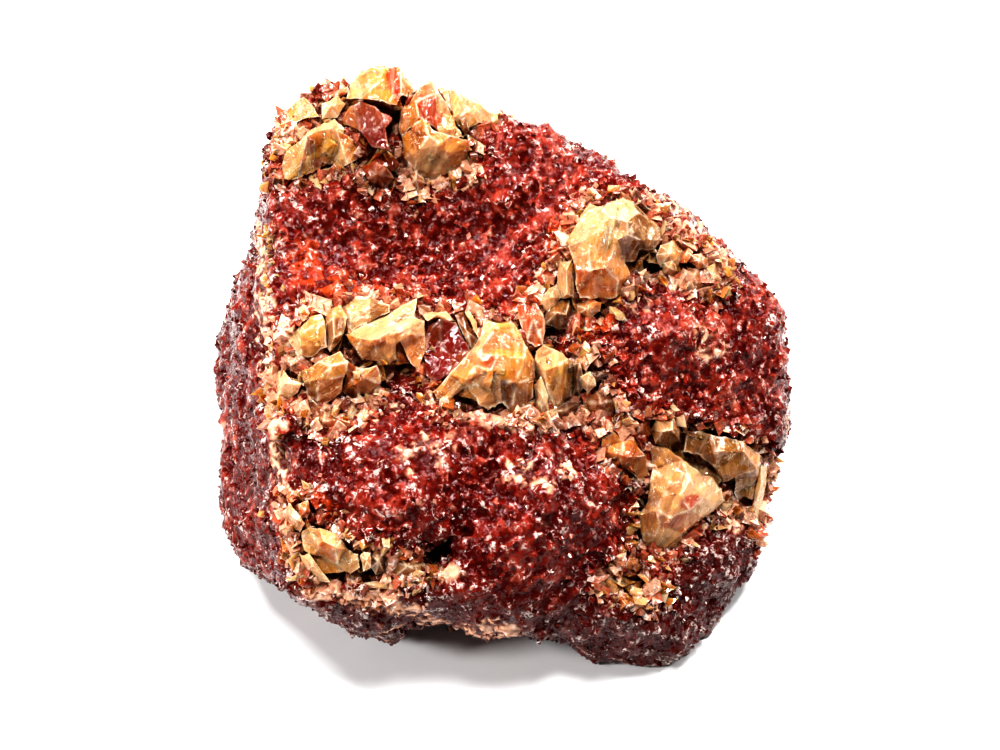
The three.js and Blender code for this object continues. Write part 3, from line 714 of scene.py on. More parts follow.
CLEAVAGE_FACETS = make_cleavage_facets()
print("Shader groups:", [group.name for group in bpy.data.node_groups])


# %% Material helpers
def new_material(name, **sockets):
    """A material whose Principled BSDF has these plain socket values."""
    material = bpy.data.materials.new(name)
    material.use_nodes = True
    shader = material.node_tree.nodes["Principled BSDF"]
    for socket, value in sockets.items():
        shader.inputs[socket.replace("_", " ")].default_value = value
    return material, material.node_tree, shader


def add_relief(tree, shader, *heights):
    """Bumps the surface by each height in metres, one Bump node feeding the next."""
    normal = None
    for height in heights:
        inputs = {"Strength": 1.0, "Distance": 1.0, "Height": height}
        bump = add_node(tree, "ShaderNodeBump", inputs)
        if normal is not None:
            tree.links.new(normal, bump.inputs["Normal"])
        normal = bump.outputs[0]
    tree.links.new(normal, shader.inputs["Normal"])


# %% [markdown]
# ## Red calcite
# The rock and its loose grains are one mineral, so both take their colour from "Zone colour".
# Tone is painted on each whole grain, which makes neighbours catch the eye as separate crystals.
# Hollows and cracks are darkened as painted shade. Tips and edges are painted white, partly as
# bruising and partly as painted highlights. Thin white lines wind over the faces, partly frosted
# calcite and partly painted glints.
# Calcite's refractive index is 1.66 one way and 1.49 the other. The lower end of that range, and
# a lower specular level, keep the lamps and the floor from greying the deep red. A fine ripple
# breaks each face up into glints.

# %% Red calcite
CALCITE_IOR, RED_SPECULAR = 1.5, 0.32
RIPPLE_SCALE, RIPPLE_HEIGHT = 1000.0, 0.28 * MM
SMOOTH, FROSTED = 0.07, 0.35


def make_red_calcite(name, facet_scale, facet_tilt):
    material, tree, shader = new_material(name, IOR=CALCITE_IOR, Specular_IOR_Level=RED_SPECULAR)
    tone, hollow, where = painted(tree, "tone"), painted(tree, "hollow"), object_place(tree)
    mottle = noise_mask(tree, where, 420.0, detail=4.0, roughness=0.65)
    tone = combine(tree, "ADD", tone, remap(tree, mottle, 0.3, 0.7, to_low=-0.12, to_high=0.12))
    # White winding lines and lighter tips are partly frosted calcite and partly painted highlights,
    # the glints of a wet crust.
    lines = use_group(tree, WINDING_FROST_AND_GLINTS, Scale=700.0, Width=0.1)
    breaks = remap(tree, noise_mask(tree, where, 950.0, detail=2.0), 0.42, 0.5)
    frost_and_glint = combine(tree, "MULTIPLY", lines, breaks)
    tips = remap(tree, hollow, 0.36, 0.0, to_high=0.6)
    bruise_and_glint = combine(tree, "MULTIPLY", tips, remap(tree, mottle, 0.5, 0.65))
    frost_and_glint = combine(tree, "MAXIMUM", frost_and_glint, bruise_and_glint)
    frost_and_glint = combine(tree, "MULTIPLY", frost_and_glint, remap(tree, hollow, 0.6, 0.4))
    zones = {zone.title(): painted(tree, zone) for zone in ("pale", "stain", "weatheredshade")}
    # Hollows and cracks are darkened here as painted shade.
    shade = remap(tree, hollow, 0.52, 0.8, to_high=0.9)
    colour = use_group(tree, ZONE_COLOUR, Tone=tone, Frost=frost_and_glint, Hollow=shade, **zones)
    tree.links.new(colour, shader.inputs["Base Color"])
    tree.links.new(remap(tree, frost_and_glint, 0, 1, SMOOTH, FROSTED), shader.inputs["Roughness"])
    facets = use_group(tree, CLEAVAGE_FACETS, Scale=facet_scale, Tilt=facet_tilt)
    ripple = noise_mask(tree, where, RIPPLE_SCALE, detail=2.0, roughness=0.5, distortion=1.2)
    add_relief(tree, shader, facets, combine(tree, "MULTIPLY", ripple, RIPPLE_HEIGHT))
    return material


rock_calcite = make_red_calcite("red_calcite_rock", facet_scale=1300.0, facet_tilt=0.85)
red_rock = add_piece("red_rock", rock_mesh, rock_calcite)
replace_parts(red_rock, "red_calcite")

# %% [markdown]
# ## Honey crystals
# Honey calcite is fibrous, and iron stains its clear parts. Fibres run from a root through each
# crystal, so for every vertex the nearest crystal of its cluster is found, and how far the vertex
# is across and along the fibres is painted on. The stains are listed by place. The crystals that
# carry both are cut in a later cell.

# %% Fibres of each crystal
# middle u, v of a crystal, then u, v of the root that its fibres run from
FIBRES = {
    "crown_crystals": [
        (-24, 51, -22, 28), (-13, 48, -17, 26), (-34, 41, -36, 30), (-24, 38, -23, 30),
        (-14, 40, -18, 29), (-6, 49, -14, 38), (-33, 49.5, -34, 36),
    ],
    "left_ledge_crystals": [
        (-22, 8.5, -42, -3), (-35, 7, -37, -12), (-33, -1.5, -40, -8), (-24, -1.5, -30, -12),
        (-40, -3.5, -44, -12), (-19, 3, -22, -12),
    ],
    "middle_crystals": [
        (-5, -1, -16, -12), (2, -1, 4, -22), (10, -1.5, 11, -14), (18, -1.5, 8, -7),
        (7, 9, 5, -3), (10, 10, 9, -2),
    ],
    "shoulder_crystals": [(20, 23, 22, 33), (12, 16, 12, 4), (34, 21, 24, 14), (17, 12, 19, 32)],
    "corner_crystals": [
        (36, -22, 27, -38), (44, -17, 46, -34), (33.5, -13, 33, -24), (47, -23, 46, -34),
    ],
    "cleft_crystals": [(24, -17, 20, -26)],
    "lower_left_crystals": [(-33, -36, -41, -28), (-25, -38, -33, -42), (-39, -27, -42, -36)],
    "foot_crystals": [(24, -41, 28, -48), (20, -41, 22, -48)],
}


def fibre_frame(places, node_name, apart=7):
    """How far each place is along and across the fibres of its crystal, in millimetres."""
    sight = to_sight(places)[:, :2]
    fibres = np.array(FIBRES[node_name], float)
    owner = np.argmin(np.linalg.norm(sight[:, None] - fibres[None, :, :2], axis=2), axis=1)
    away = sight - fibres[owner, 2:]
    middle = fibres[owner, :2] - fibres[owner, 2:]
    reach = np.linalg.norm(middle, axis=1)
    turn = np.arctan2(away[:, 1], away[:, 0]) - np.arctan2(middle[:, 1], middle[:, 0])
    across = (turn + math.pi) % math.tau - math.pi
    return np.linalg.norm(away, axis=1), across * reach + apart * owner


# %% Stains of the honey crystals
# u, v, half width, half height, lean in degrees, strength
STAINS = {
    "smoky": [
        (-31.5, 7, 3, 5, 0, 0.9), (10, 9, 3.5, 3.5, 0, 1), (17, -2, 6, 4, -10, 1),
        (24, 22, 3, 3.5, 20, 0.9), (33.5, -13.5, 5, 3.5, 0, 0.8), (38, -13.5, 4, 3, -20, 0.5),
        (-25, -2, 5, 4, 0, 0.45), (26, -41, 4, 4, 0, 0.6),
    ],
    "iron": [
        (-18.3, 52, 2.2, 4.5, 10, 1), (-15, 51, 3.5, 3, 0, 0.8), (-12.8, 47.6, 3, 2.5, -30, 0.9),
        (5.5, 7.5, 3.6, 5.5, 0, 1), (17.5, 14.5, 5, 4, 0, 0.8), (18, 11, 5, 3, 0, 0.8),
        (24, -17.5, 6, 5.5, -40, 0.9), (37, 20, 4, 2.6, -10, 0.7), (-19, 3.5, 4.5, 4, 0, 0.5),
        (-2.3, 1.5, 2.4, 2.2, 0, 0.9), (34, -27.5, 4, 3, 30, 0.6), (-39, -27.5, 3.5, 4.5, 0, 0.7),
    ],
    "garnet": [
        (-24.5, 46.5, 5, 5.5, -30, 0.95), (-23.5, 38, 6, 3.2, 0, 0.8), (-29, 50, 3, 3, 0, 0.5),
    ],
    "cream": [
        (-14.5, 40, 4, 4, 0, 1), (-22, 8.5, 9, 3.5, 25, 0.9), (-32, -34.5, 5, 4, -30, 0.8),
        (36, -23, 6, 6, 40, 0.9), (12, 16.5, 3, 6, 0, 0.8), (-8, 50, 5, 4, -30, 0.8),
        (19, 27, 6, 5, 0, 0.6), (9, 14.5, 3, 3, 0, 1), (-3, -4.5, 3, 3.5, 0, 0.6),
        (31, 21, 4, 3.5, 0, 0.7), (-40.5, -3.5, 3.5, 4, 0, 0.9), (-34, 49.5, 4, 3.5, 0, 0.9),
        (21, -41, 3, 3, 0, 0.8),
    ],
    "olive": [
        (45, -18.5, 8, 8, -20, 0.9), (-33.5, -1.5, 5.5, 4.5, 0, 0.7),
        (-25.5, -37.5, 4, 4, 0, 0.9), (-28, 5, 3, 3, 0, 0.4),
    ],
}


# %% Fibrous streaks
ALONG_SHARE = 0.09


def make_fibrous_streaks():
    """Streaks that follow the painted fibres, Width millimetres wide."""
    inputs = [("Width", "NodeSocketFloat", 0.6), ("Cover", "NodeSocketFloat", 0.5)]
    group, given, result = new_group("Fibrous streaks", inputs, [("Streak", "NodeSocketFloat")])
    along = calculate(group, "MULTIPLY", painted(group, "along"), ALONG_SHARE)
    inputs = {0: painted(group, "across"), 1: along}
    place = add_node(group, "ShaderNodeCombineXYZ", inputs).outputs[0]
    scale = calculate(group, "DIVIDE", 1.0, given.outputs["Width"])
    streak = noise_mask(group, place, scale, detail=4.0, roughness=0.7, distortion=0.3)
    streak = remap(group, streak, 0.42, 0.68)
    streak = combine(group, "MULTIPLY", streak, given.outputs["Cover"])
    group.links.new(streak, result.inputs["Streak"])
    return group


FIBROUS_STREAKS = make_fibrous_streaks()


# %% Honey calcite
HONEY_DARK, HONEY_LIGHT = (0.33, 0.09, 0.006, 1), (0.66, 0.28, 0.045, 1)
STAIN_COLOURS = {
    "cream": (0.66, 0.39, 0.2, 1), "olive": (0.2, 0.085, 0.012, 1), "iron": (0.42, 0.045, 0.006, 1),
    "smoky": (0.085, 0.02, 0.005, 1), "garnet": (0.19, 0.01, 0.004, 1),
}
# The white of frosted calcite, also used for painted highlights along edges and in winding lines.
RUST, FROST_AND_GLINT = (0.16, 0.03, 0.006, 1), (0.84, 0.66, 0.5, 1)
GROOVE_DEPTH, HONEY_RIPPLE = 0.15 * MM, 0.16 * MM


def make_honey():
    material, tree, shader = new_material(
        "honey_calcite", IOR=CALCITE_IOR, Transmission_Weight=0.25, Subsurface_Weight=0.5,
        Subsurface_Scale=3 * MM,
    )
    shader.inputs["Subsurface Radius"].default_value = (1.0, 0.5, 0.25)
    where, garnet, smoky = object_place(tree), painted(tree, "garnet"), painted(tree, "smoky")
    cloud = noise_mask(tree, where, 260.0, detail=5.0, roughness=0.65, distortion=0.6)
    speck = noise_mask(tree, where, 1100.0, detail=3.0, roughness=0.7)
    colour = mix_colour(tree, remap(tree, cloud, 0.36, 0.62), HONEY_DARK, HONEY_LIGHT)
    for stain, stain_colour in STAIN_COLOURS.items():
        colour = mix_colour(tree, painted(tree, stain), colour, stain_colour)
    between_clouds = remap(tree, cloud, 0.62, 0.45, to_low=0.1, to_high=0.8)
    rust = combine(tree, "MULTIPLY", remap(tree, speck, 0.62, 0.7), between_clouds)
    colour = mix_colour(tree, rust, colour, RUST)
    streak = use_group(tree, FIBROUS_STREAKS, Width=0.7, Cover=0.28)
    veil = use_group(tree, CLOUDY_VEILS, Scale=420.0, Cover=0.12)
    # The thin winding lines are partly frosted calcite and partly painted highlights.
    lines = use_group(tree, WINDING_FROST_AND_GLINTS, Scale=520.0, Width=0.02)
    lines = combine(tree, "MULTIPLY", lines, 0.8)
    frost_and_glint = combine(tree, "MAXIMUM", combine(tree, "MAXIMUM", streak, veil), lines)
    for stain, clearness in ((garnet, 0.12), (smoky, 0.45)):
        frost_and_glint = combine(tree, "MULTIPLY", frost_and_glint, remap(tree, stain, 0, 1, 1, clearness))
    # Edges are painted white: frosted calcite in part, and painted highlight in part.
    edge = combine(tree, "MULTIPLY", painted(tree, "edge"), remap(tree, garnet, 0, 1, 0.8, 0.3))
    frost_and_glint = combine(tree, "MAXIMUM", frost_and_glint, edge)
    tree.links.new(mix_colour(tree, frost_and_glint, colour, FROST_AND_GLINT), shader.inputs["Base Color"])
    tree.links.new(remap(tree, frost_and_glint, 0, 1, 0.06, 0.5), shader.inputs["Roughness"])
    facets = use_group(tree, CLEAVAGE_FACETS, Scale=560.0, Tilt=0.5)
    groove = combine(tree, "MULTIPLY", streak, GROOVE_DEPTH)
    ripple = noise_mask(tree, where, 620.0, detail=2.0, roughness=0.5, distortion=1.0)
    add_relief(tree, shader, facets, groove, combine(tree, "MULTIPLY", ripple, HONEY_RIPPLE))
    return material


# %% [markdown]
# ## Cutting the large crystals
# A crystal is recognised by its few big flat faces, so each large one is written out one by one:
# its corners, and the faces between them with their stains. A corner is so many steps across and
# down on the display side, and a height in millimetres above the middle surface of its cluster. A
# face is spelt with a letter for each corner: a for the first, and A after z. Where one stain is
# given for a whole crystal, its faces fan out round the last corner. Walls then run from the
# outline back into the rock, widening a little, and close the solid. Behind the cut crystals a
# slightly shrunk copy of the CAD cluster stays as their root, so that the cluster is also whole
# from the sides and from behind.

# %% Corners and faces of the cut crystals
# millimetres in a step, and the steps to the middle of the display side
CORNER_STEP, MIDDLE_ACROSS, MIDDLE_DOWN = 0.19, 502, 367
CUT_CRYSTALS = {
    "crown_crystals": [
        ("left_peak", [
            (350, 84, 0), (361, 72, 0.5), (371, 67, 1), (386, 67, 2), (401, 68, 1.5), (406, 77, 0),
            (416, 91, -0.5), (408, 97, -0.5), (402, 96, 2), (397, 106, 1.5), (379, 101, 3.5),
            (361, 99, 3), (345, 99, 0), (379, 80, 3.2),
        ], [
            ("abcdnlm", {"cream": 0.3}), ("deijkln", {"iron": 0.15}),
            ("efghi", {"olive": 0.3, "cream": 0.4}),
        ]),
        ("back_slab", [
            (438, 88, 0), (455, 90, 0.5), (472, 99, 0), (487, 109, 0), (501, 119, -0.5),
            (482, 124, 0.5), (466, 129, 0.5), (458, 127, 1), (454, 118, 2), (447, 104, 1.5),
            (468, 112, 2.5),
        ], [
            ("abkij", {"cream": 0.5}), ("bcdefk", {"cream": 0.7, "iron": 0.1}),
            ("kfghi", {"cream": 0.4}),
        ]),
        ("garnet_slab", [
            (360, 101, 2.2), (376, 107, 2.7), (392, 119, 2.2), (385, 128, 3.2), (389, 150, 2.2),
            (372, 146, 2.2), (361, 132, 2.7), (344, 124, 1.2), (343, 118, 1.2), (350, 108, 1.7),
        ], [
            ("abcdg", {"garnet": 0.8}), ("defg", {"garnet": 0.95}), ("aghij", {"garnet": 0.6}),
        ]),
        ("right_peak", [
            (430, 80, 4.5), (437, 87, 3), (447, 105, 2), (458, 128, 1), (464, 138, 0.5),
            (450, 137, 0.5), (437, 131, 2), (425, 121, 2.5), (411, 128, 1), (402, 138, 0),
            (397, 127, 0), (400, 112, 0.5), (411, 98, 1), (420, 88, 2.5), (419, 117, 4),
            (436, 94, 5), (415, 101, 2.5),
        ], [
            ("mnapq", {"cream": 0.4, "iron": 0.4}), ("qpgho", {"iron": 0.95}),
            ("abcdefgp", {"cream": 0.25}), ("mqohijkl", {"iron": 0.35, "olive": 0.2}),
        ]),
        ("small_prism", [
            (459, 119, 2), (465, 116, 2.5), (471, 131, 2.5), (464, 138, 2), (464, 128, 3.4),
        ], {"smoky": 0.7}),
        ("cream_block", [
            (402, 138, 0), (411, 127, 1.5), (422, 119, 2), (436, 131, 2.5), (450, 136, 2),
            (466, 139, 1), (471, 150, 0.5), (463, 166, 0), (450, 173, 0), (440, 178, -0.5),
            (425, 181, -0.5), (414, 170, 0), (404, 158, 0), (403, 147, 0), (419, 150, 3.5),
            (429, 136, 4), (441, 145, 4.5), (447, 153, 3.5),
        ], [
            ("abcpomn", {"iron": 0.1}), ("cdeqp", {"cream": 0.2}), ("efghirq", {"iron": 0.05}),
            ("opqrijkl", {"cream": 0.95}), ("lmo", {"cream": 0.4}),
        ]),
        ("left_fan", [
            (281, 180, -0.5), (282, 165, 0), (284, 157, 0), (292, 147, 0.5), (300, 140, 1),
            (311, 130, 1), (322, 124, 1), (334, 120, 1.5), (341, 125, 1), (344, 132, 1),
            (352, 139, 0.5), (358, 150, 0), (357, 160, -0.5), (348, 165, 0.5), (340, 170, 0),
            (334, 166, 0), (322, 162, 1), (320, 170, 0), (309, 174, 0), (298, 179, 0),
            (306, 137, 3), (316, 132, 3.4), (331, 128, 3.5), (337, 130, 3.2),
        ], [
            ("abcdeut", {"cream": 0.6}), ("uvqrst", {"iron": 0.12}), ("vwpq", {"cream": 0.1}),
            ("wxnop", {"cream": 0.6}), ("xjklmn", {"iron": 0.2}), ("efghijxwvu", {"cream": 1}),
        ]),
        ("left_shard", [
            (284, 113, 0), (297, 100, 0), (304, 96, 1), (313, 106, 2), (320, 117, 1),
            (303, 119, 2.5), (290, 127, 0.5),
        ], [
            ("abcdfg", {"cream": 0.3}), ("def", {"cream": 0.2}),
        ]),
        ("pale_shard", [
            (322, 104, 0.5), (338, 96, 1), (346, 104, 1), (338, 118, 0.5), (322, 119, 0.5),
            (331, 106, 2.5),
        ], {"cream": 0.75, "olive": 0.15}),
        ("brown_shard", [
            (289, 120, 0), (302, 119, 1.5), (296, 132, 0.5), (288, 130, 0), (294, 125, 1.8),
        ], {"iron": 0.4, "smoky": 0.3}),
        ("flesh_shard", [
            (330, 96, 0), (349, 84, 0.5), (350, 93, 1), (343, 97, 1), (335, 98, 1), (342, 92, 1.8),
        ], {"iron": 0.5, "cream": 0.3}),
        ("garnet_bead", [
            (362, 167, 0), (374, 163, 1.5), (388, 168, 1.5), (394, 178, 0.5), (387, 188, 0),
            (373, 190, 0), (362, 181, 0), (376, 175, 3),
        ], {"garnet": 0.75}),
        ("brown_bead", [
            (408, 174, 0.5), (417, 170, 1.5), (426, 184, 1), (418, 193, 0), (409, 184, 0),
            (416, 180, 2.5),
        ], {"iron": 0.4, "smoky": 0.4}),
    ],
    "left_ledge_crystals": [
        ("lemon_block", [
            (300, 328, 0), (308, 320, 0.5), (322, 312, 1), (325, 322, 2.5), (327, 347, 1.5),
            (312, 358, 0), (299, 358, 0), (291, 345, -0.5), (283, 335, -0.5), (298, 334, 2.5),
            (300, 346, 2),
        ], [
            ("abcdj", {"cream": 0.35}), ("jdefgk", {"cream": 0.15}), ("iajkgh", {"cream": 0.9}),
        ]),
        ("brown_column", [
            (324, 314, 0), (333, 308, 1), (341, 305, 1), (347, 318, 1), (343, 334, 0.5),
            (339, 343, 0), (330, 352, -0.5), (326, 346, 0), (325, 325, 1), (333, 318, 3),
            (334, 338, 2.5),
        ], [
            ("abji", {"cream": 0.3, "smoky": 0.3}), ("bcdekj", {"cream": 0.2}),
            ("ijkgh", {"smoky": 0.6}), ("efgk", {"smoky": 0.4}),
        ]),
        ("top_blocks", [
            (341, 305, 0), (352, 298, 0.5), (371, 299, 0.5), (390, 305, 0), (390, 313, 0.5),
            (371, 322, 0.5), (350, 332, 0), (343, 321, 0.5), (369, 309, 2), (351, 313, 2.2),
        ], [
            ("abcij", {"cream": 0.75}), ("cdefi", {"olive": 0.6, "smoky": 0.3}),
            ("fgji", {"cream": 0.6, "smoky": 0.2}), ("ghaj", {"cream": 0.8}),
        ]),
        ("bright_slab", [
            (345, 335, 0), (365, 325, 0.5), (384, 318, 1), (402, 305, 1.5), (416, 299, 1.5),
            (416, 318, 3), (393, 329, 4), (374, 340, 4.5), (361, 339, 4), (356, 350, 1),
            (363, 360, 0), (378, 362, 0), (386, 364, 0), (397, 360, 0), (396, 346, 2.5),
            (410, 335, 3.5), (424, 321, 2), (425, 336, 2), (426, 351, 1), (418, 372, 0),
            (411, 365, 0.5), (404, 350, 1.5), (400, 343, 3),
        ], [
            ("abcdefghi", {"cream": 0.7}), ("aij", {"cream": 0.1}), ("ihlkj", {"cream": 0.2}),
            ("hgpwoml", {"cream": 0.45, "iron": 0.15}), ("mon", {"cream": 0.8}),
            ("gfqrp", {"cream": 0.95}), ("prstuvw", {"iron": 0.35, "cream": 0.4}),
        ]),
        ("edge_block", [
            (276, 372, 0), (283, 369, 1), (291, 380, 2), (301, 384, 1), (298, 393, 0),
            (291, 398, -0.5), (277, 398, -0.5), (274, 386, -0.5), (284, 384, 3),
        ], {"cream": 0.85}),
        ("brown_fan", [
            (303, 372, 0), (320, 361, 0.5), (340, 352, 0.5), (347, 362, 1.5), (345, 376, 2),
            (330, 379, 3), (317, 380, 3), (304, 383, 1), (308, 397, 0), (318, 408, -0.5),
            (330, 402, 0), (341, 392, 0.5), (332, 366, 3.5),
        ], [
            ("abmgh", {"olive": 0.3}), ("bcdm", {"cream": 0.3}),
            ("mdefg", {"olive": 0.2, "cream": 0.1}), ("hgji", {"smoky": 0.6}),
            ("gfkj", {"smoky": 0.3, "iron": 0.3}), ("felk", {"iron": 0.4}),
        ]),
        ("peach_fan", [
            (347, 362, 0), (360, 369, 1.5), (376, 366, 1), (381, 384, 0.5), (373, 392, 0),
            (360, 396, 0), (350, 401, -0.5), (342, 391, 0), (345, 376, 1), (356, 384, 3),
            (364, 378, 3),
        ], [
            ("abkji", {"iron": 0.5}), ("bcdk", {"iron": 0.3, "cream": 0.4}),
            ("kdefj", {"cream": 0.5, "iron": 0.3}), ("jfghi", {"iron": 0.5, "smoky": 0.2}),
        ]),
        ("cream_chip", [
            (351, 371, 2), (362, 370, 2.5), (359, 379, 3), (353, 379, 2), (356, 374, 3.6),
        ], {"cream": 1}),
        ("brown_sweep", [
            (302, 401, 0), (312, 399, 1), (325, 412, 1.5), (341, 406, 0.5), (346, 420, 0),
            (335, 436, -0.5), (321, 432, 0), (309, 418, 0), (323, 422, 2),
        ], [
            ("abcigh", {"iron": 0.3, "smoky": 0.5}), ("cdei", {"iron": 0.4, "smoky": 0.3}),
            ("efgi", {"garnet": 0.5, "iron": 0.2}),
        ]),
        ("cream_sliver", [
            (330, 415, 2), (334, 406, 2.5), (342, 399, 1.5), (345, 404, 2), (335, 419, 1.5),
            (337, 409, 3.2),
        ], {"cream": 0.8}),
        ("pink_knob", [
            (344, 406, 0), (352, 402, 1), (358, 408, 1), (358, 422, 0), (351, 429, -0.5),
            (343, 425, 0), (350, 415, 2.5),
        ], {"cream": 0.85, "iron": 0.1}),
        ("garnet_window", [
            (428, 327, 2.2), (440, 319, 2.2), (456, 323, 2.2), (464, 339, 2.2), (471, 350, 2.2),
            (461, 361, 1.5), (450, 373, 1.2), (436, 382, 0.7), (426, 376, 1.2), (423, 355, 1.7),
            (425, 338, 2.2), (441, 346, 0.4), (452, 356, 0.4),
        ], [
            ("ablkj", {"garnet": 0.9}), ("bcdeml", {"garnet": 1}), ("efgm", {"garnet": 0.9}),
            ("ghijklm", {"garnet": 1}),
        ]),
        ("dark_panel", [
            (454, 315, 2), (463, 311, 2.4), (479, 340, 1.5), (471, 350, 0.5), (463, 338, 1.5),
            (467, 331, 2.8),
        ], {"smoky": 0.7, "garnet": 0.2}),
        ("cream_spike", [
            (464, 312, 3), (469, 309, 3.2), (478, 322, 3), (480, 341, 2), (473, 332, 3),
            (472, 322, 4),
        ], {"cream": 0.8}),
        ("window_rim", [
            (419, 313, 1), (432, 311, 1.5), (446, 313, 1.5), (457, 322, 1.5), (449, 321, 2),
            (438, 318, 2.2), (427, 322, 1.8), (437, 315, 3),
        ], {"cream": 1}),
    ],
    "middle_crystals": [
        ("cone", [
            (433, 392, 0), (450, 375, 0.5), (466, 357, 1), (475, 345, 1), (481, 336, 1),
            (483, 322, 0), (500, 323, 0), (513, 324, 0), (521, 332, 0.5), (526, 346, 1),
            (534, 360, 0.5), (535, 378, 0), (532, 398, -0.5), (520, 411, -1), (511, 415, -1),
            (502, 403, 0), (488, 412, -0.5), (480, 405, 0), (470, 392, 0.5), (466, 388, 1),
            (455, 395, 0), (445, 403, -0.5), (437, 399, -0.5), (490, 335, 3.5), (478, 354, 4.5),
            (498, 356, 5), (524, 358, 4), (475, 366, 4), (467, 380, 3), (500, 380, 4.5),
            (490, 371, 4.5), (516, 384, 3.5),
        ], [
            ("fgxycde", {"cream": 0.85}), ("ghijAzyx", {"cream": 0.1}), ("jklFA", {"olive": 0.15}),
            ("zAFDE", {"iron": 0.2}), ("Flmno", {"smoky": 0.4, "iron": 0.2}),
            ("DFop", {"smoky": 0.75}), ("yzEB", {"iron": 0.5}),
            ("BEDpqrsC", {"cream": 0.5, "iron": 0.08}), ("abcyBCtuvw", {"cream": 0.2}),
            ("tCs", {"smoky": 0.3}),
        ]),
        ("lemon_wedge", [
            (535, 360, 0), (536, 352, 0), (543, 345, 0.5), (556, 351, 1), (570, 358, 1),
            (574, 363, 0.5), (571, 396, 0), (565, 401, 0), (556, 409, 0), (549, 406, 0),
            (542, 393, 0), (537, 378, 0), (556, 367, 4), (545, 371, 3), (547, 391, 2.5),
        ], [
            ("bcdemna", {"cream": 0.7}), ("mefghion", {"cream": 0.15}), ("anojkl", {"cream": 0.85}),
            ("oij", {"cream": 0.5}),
        ]),
        ("amber_gem", [
            (516, 300, 0), (523, 298, 0), (536, 304, 0.5), (543, 314, 1), (545, 330, 1),
            (543, 345, 0), (535, 347, 0), (526, 341, 0), (521, 331, 0.5), (518, 318, 0.5),
            (533, 319, 3),
        ], [
            ("abcdkj", {"iron": 0.9}), ("defk", {"iron": 0.6, "smoky": 0.3}),
            ("fghk", {"iron": 0.6, "garnet": 0.3}), ("hijk", {"iron": 0.8}),
        ]),
        ("smoky_gem", [
            (546, 312, 0), (553, 302, 0.5), (570, 300, 0.5), (574, 308, 0), (569, 330, 0),
            (557, 329, 0), (545, 325, 0), (557, 313, 2.5), (566, 315, 2.5),
        ], [
            ("abcih", {"smoky": 0.6}), ("cdei", {"smoky": 0.8}), ("efghi", {"smoky": 0.85}),
            ("gah", {"smoky": 0.7}),
        ]),
        ("white_column", [
            (533, 385, 1), (541, 377, 1.5), (547, 395, 1.5), (549, 412, 0.5), (540, 423, 0),
            (533, 416, 0), (536, 400, 1), (542, 398, 2.8),
        ], {"cream": 1}),
        ("dark_sliver", [
            (573, 364, 0.5), (580, 362, 1), (584, 380, 1), (580, 400, 0), (572, 399, 0),
            (577, 380, 2),
        ], {"smoky": 0.9}),
        ("white_chip", [
            (580, 377, 1), (590, 372, 1.5), (596, 386, 1.5), (587, 396, 1), (588, 384, 2.8),
        ], {"cream": 0.9}),
        ("smoky_knob", [
            (583, 402, 0), (599, 389, 0.5), (620, 400, 0), (613, 416, 0), (598, 421, 0),
            (585, 416, 0), (600, 404, 2.5),
        ], {"smoky": 0.5, "garnet": 0.3}),
        ("dark_foot", [
            (551, 413, 0), (566, 401, 0.5), (581, 401, 0.5), (579, 416, 0), (560, 421, -0.5),
            (567, 410, 1.8),
        ], {"smoky": 0.8, "garnet": 0.2}),
        ("red_chip", [
            (574, 356, 0), (586, 352, 0.5), (592, 362, 0.5), (586, 372, 0), (576, 366, 0.5),
            (583, 361, 1.8),
        ], {"garnet": 0.6}),
    ],
    "shoulder_crystals": [
        ("shoulder_slab", [
            (571, 258, 0), (566, 247, 0), (573, 228, 0), (580, 215, 0), (590, 205, 0.5),
            (601, 207, 1), (612, 202, 1), (622, 199, 0.5), (633, 203, 0), (647, 216, 0),
            (657, 228, 0), (661, 240, 0), (654, 249, 0), (640, 252, 0.5), (635, 261, 0),
            (625, 262, 0.5), (630, 275, 0), (622, 291, -0.5), (616, 298, -0.5), (600, 299, -0.5),
            (580, 298, -0.5), (575, 285, 0), (573, 264, 0.5), (588, 238, 3), (600, 228, 4),
            (609, 217, 4), (628, 222, 4), (638, 212, 3), (618, 240, 5), (612, 255, 4.5),
            (605, 268, 4), (590, 271, 3), (640, 240, 3), (628, 235, 4.2), (618, 281, 2),
        ], [
            ("cdefzyxb", {"cream": 0.7}), ("fghiBAz", {"cream": 0.9}),
            ("xyzAHCDEF", {"cream": 0.3}), ("abxFw", {"cream": 0.5}), ("wFEIstuv", {"iron": 0.4}),
            ("HABijklG", {"olive": 0.7}), ("Glmn", {"olive": 0.4, "smoky": 0.4}),
            ("CHGnop", {"smoky": 0.7, "garnet": 0.2}), ("DCpqIE", {"cream": 0.3, "iron": 0.15}),
            ("Iqrs", {"cream": 0.2, "iron": 0.2}),
        ]),
        ("grey_column", [
            (558, 275, 0), (560, 262, 0.5), (572, 259, 1), (574, 275, 1), (574, 298, 0),
            (562, 299, 0), (556, 290, 0), (566, 272, 2.8), (567, 294, 2),
        ], [
            ("abhifg", {"cream": 0.6, "smoky": 0.1}), ("bch", {"cream": 0.8}),
            ("cdeih", {"smoky": 0.3, "cream": 0.2}), ("efi", {"cream": 0.4}),
        ]),
        ("left_cream", [
            (541, 305, 0), (545, 292, 0.5), (557, 284, 1), (562, 298, 0.5), (550, 313, 0),
            (550, 298, 2.5),
        ], {"cream": 0.95}),
        ("peach_block", [
            (572, 304, 0), (588, 300, 0.5), (603, 301, 0.5), (601, 313, 0), (590, 318, 0),
            (572, 319, 0), (586, 309, 2.5),
        ], {"iron": 0.2, "cream": 0.3}),
        ("pale_knob", [
            (655, 255, 0), (660, 245, 0.5), (672, 240, 0.5), (683, 250, 0.5), (681, 262, 0.5),
            (673, 270, 0), (660, 268, 0), (670, 254, 3),
        ], {"cream": 0.5}),
        ("olive_chip", [
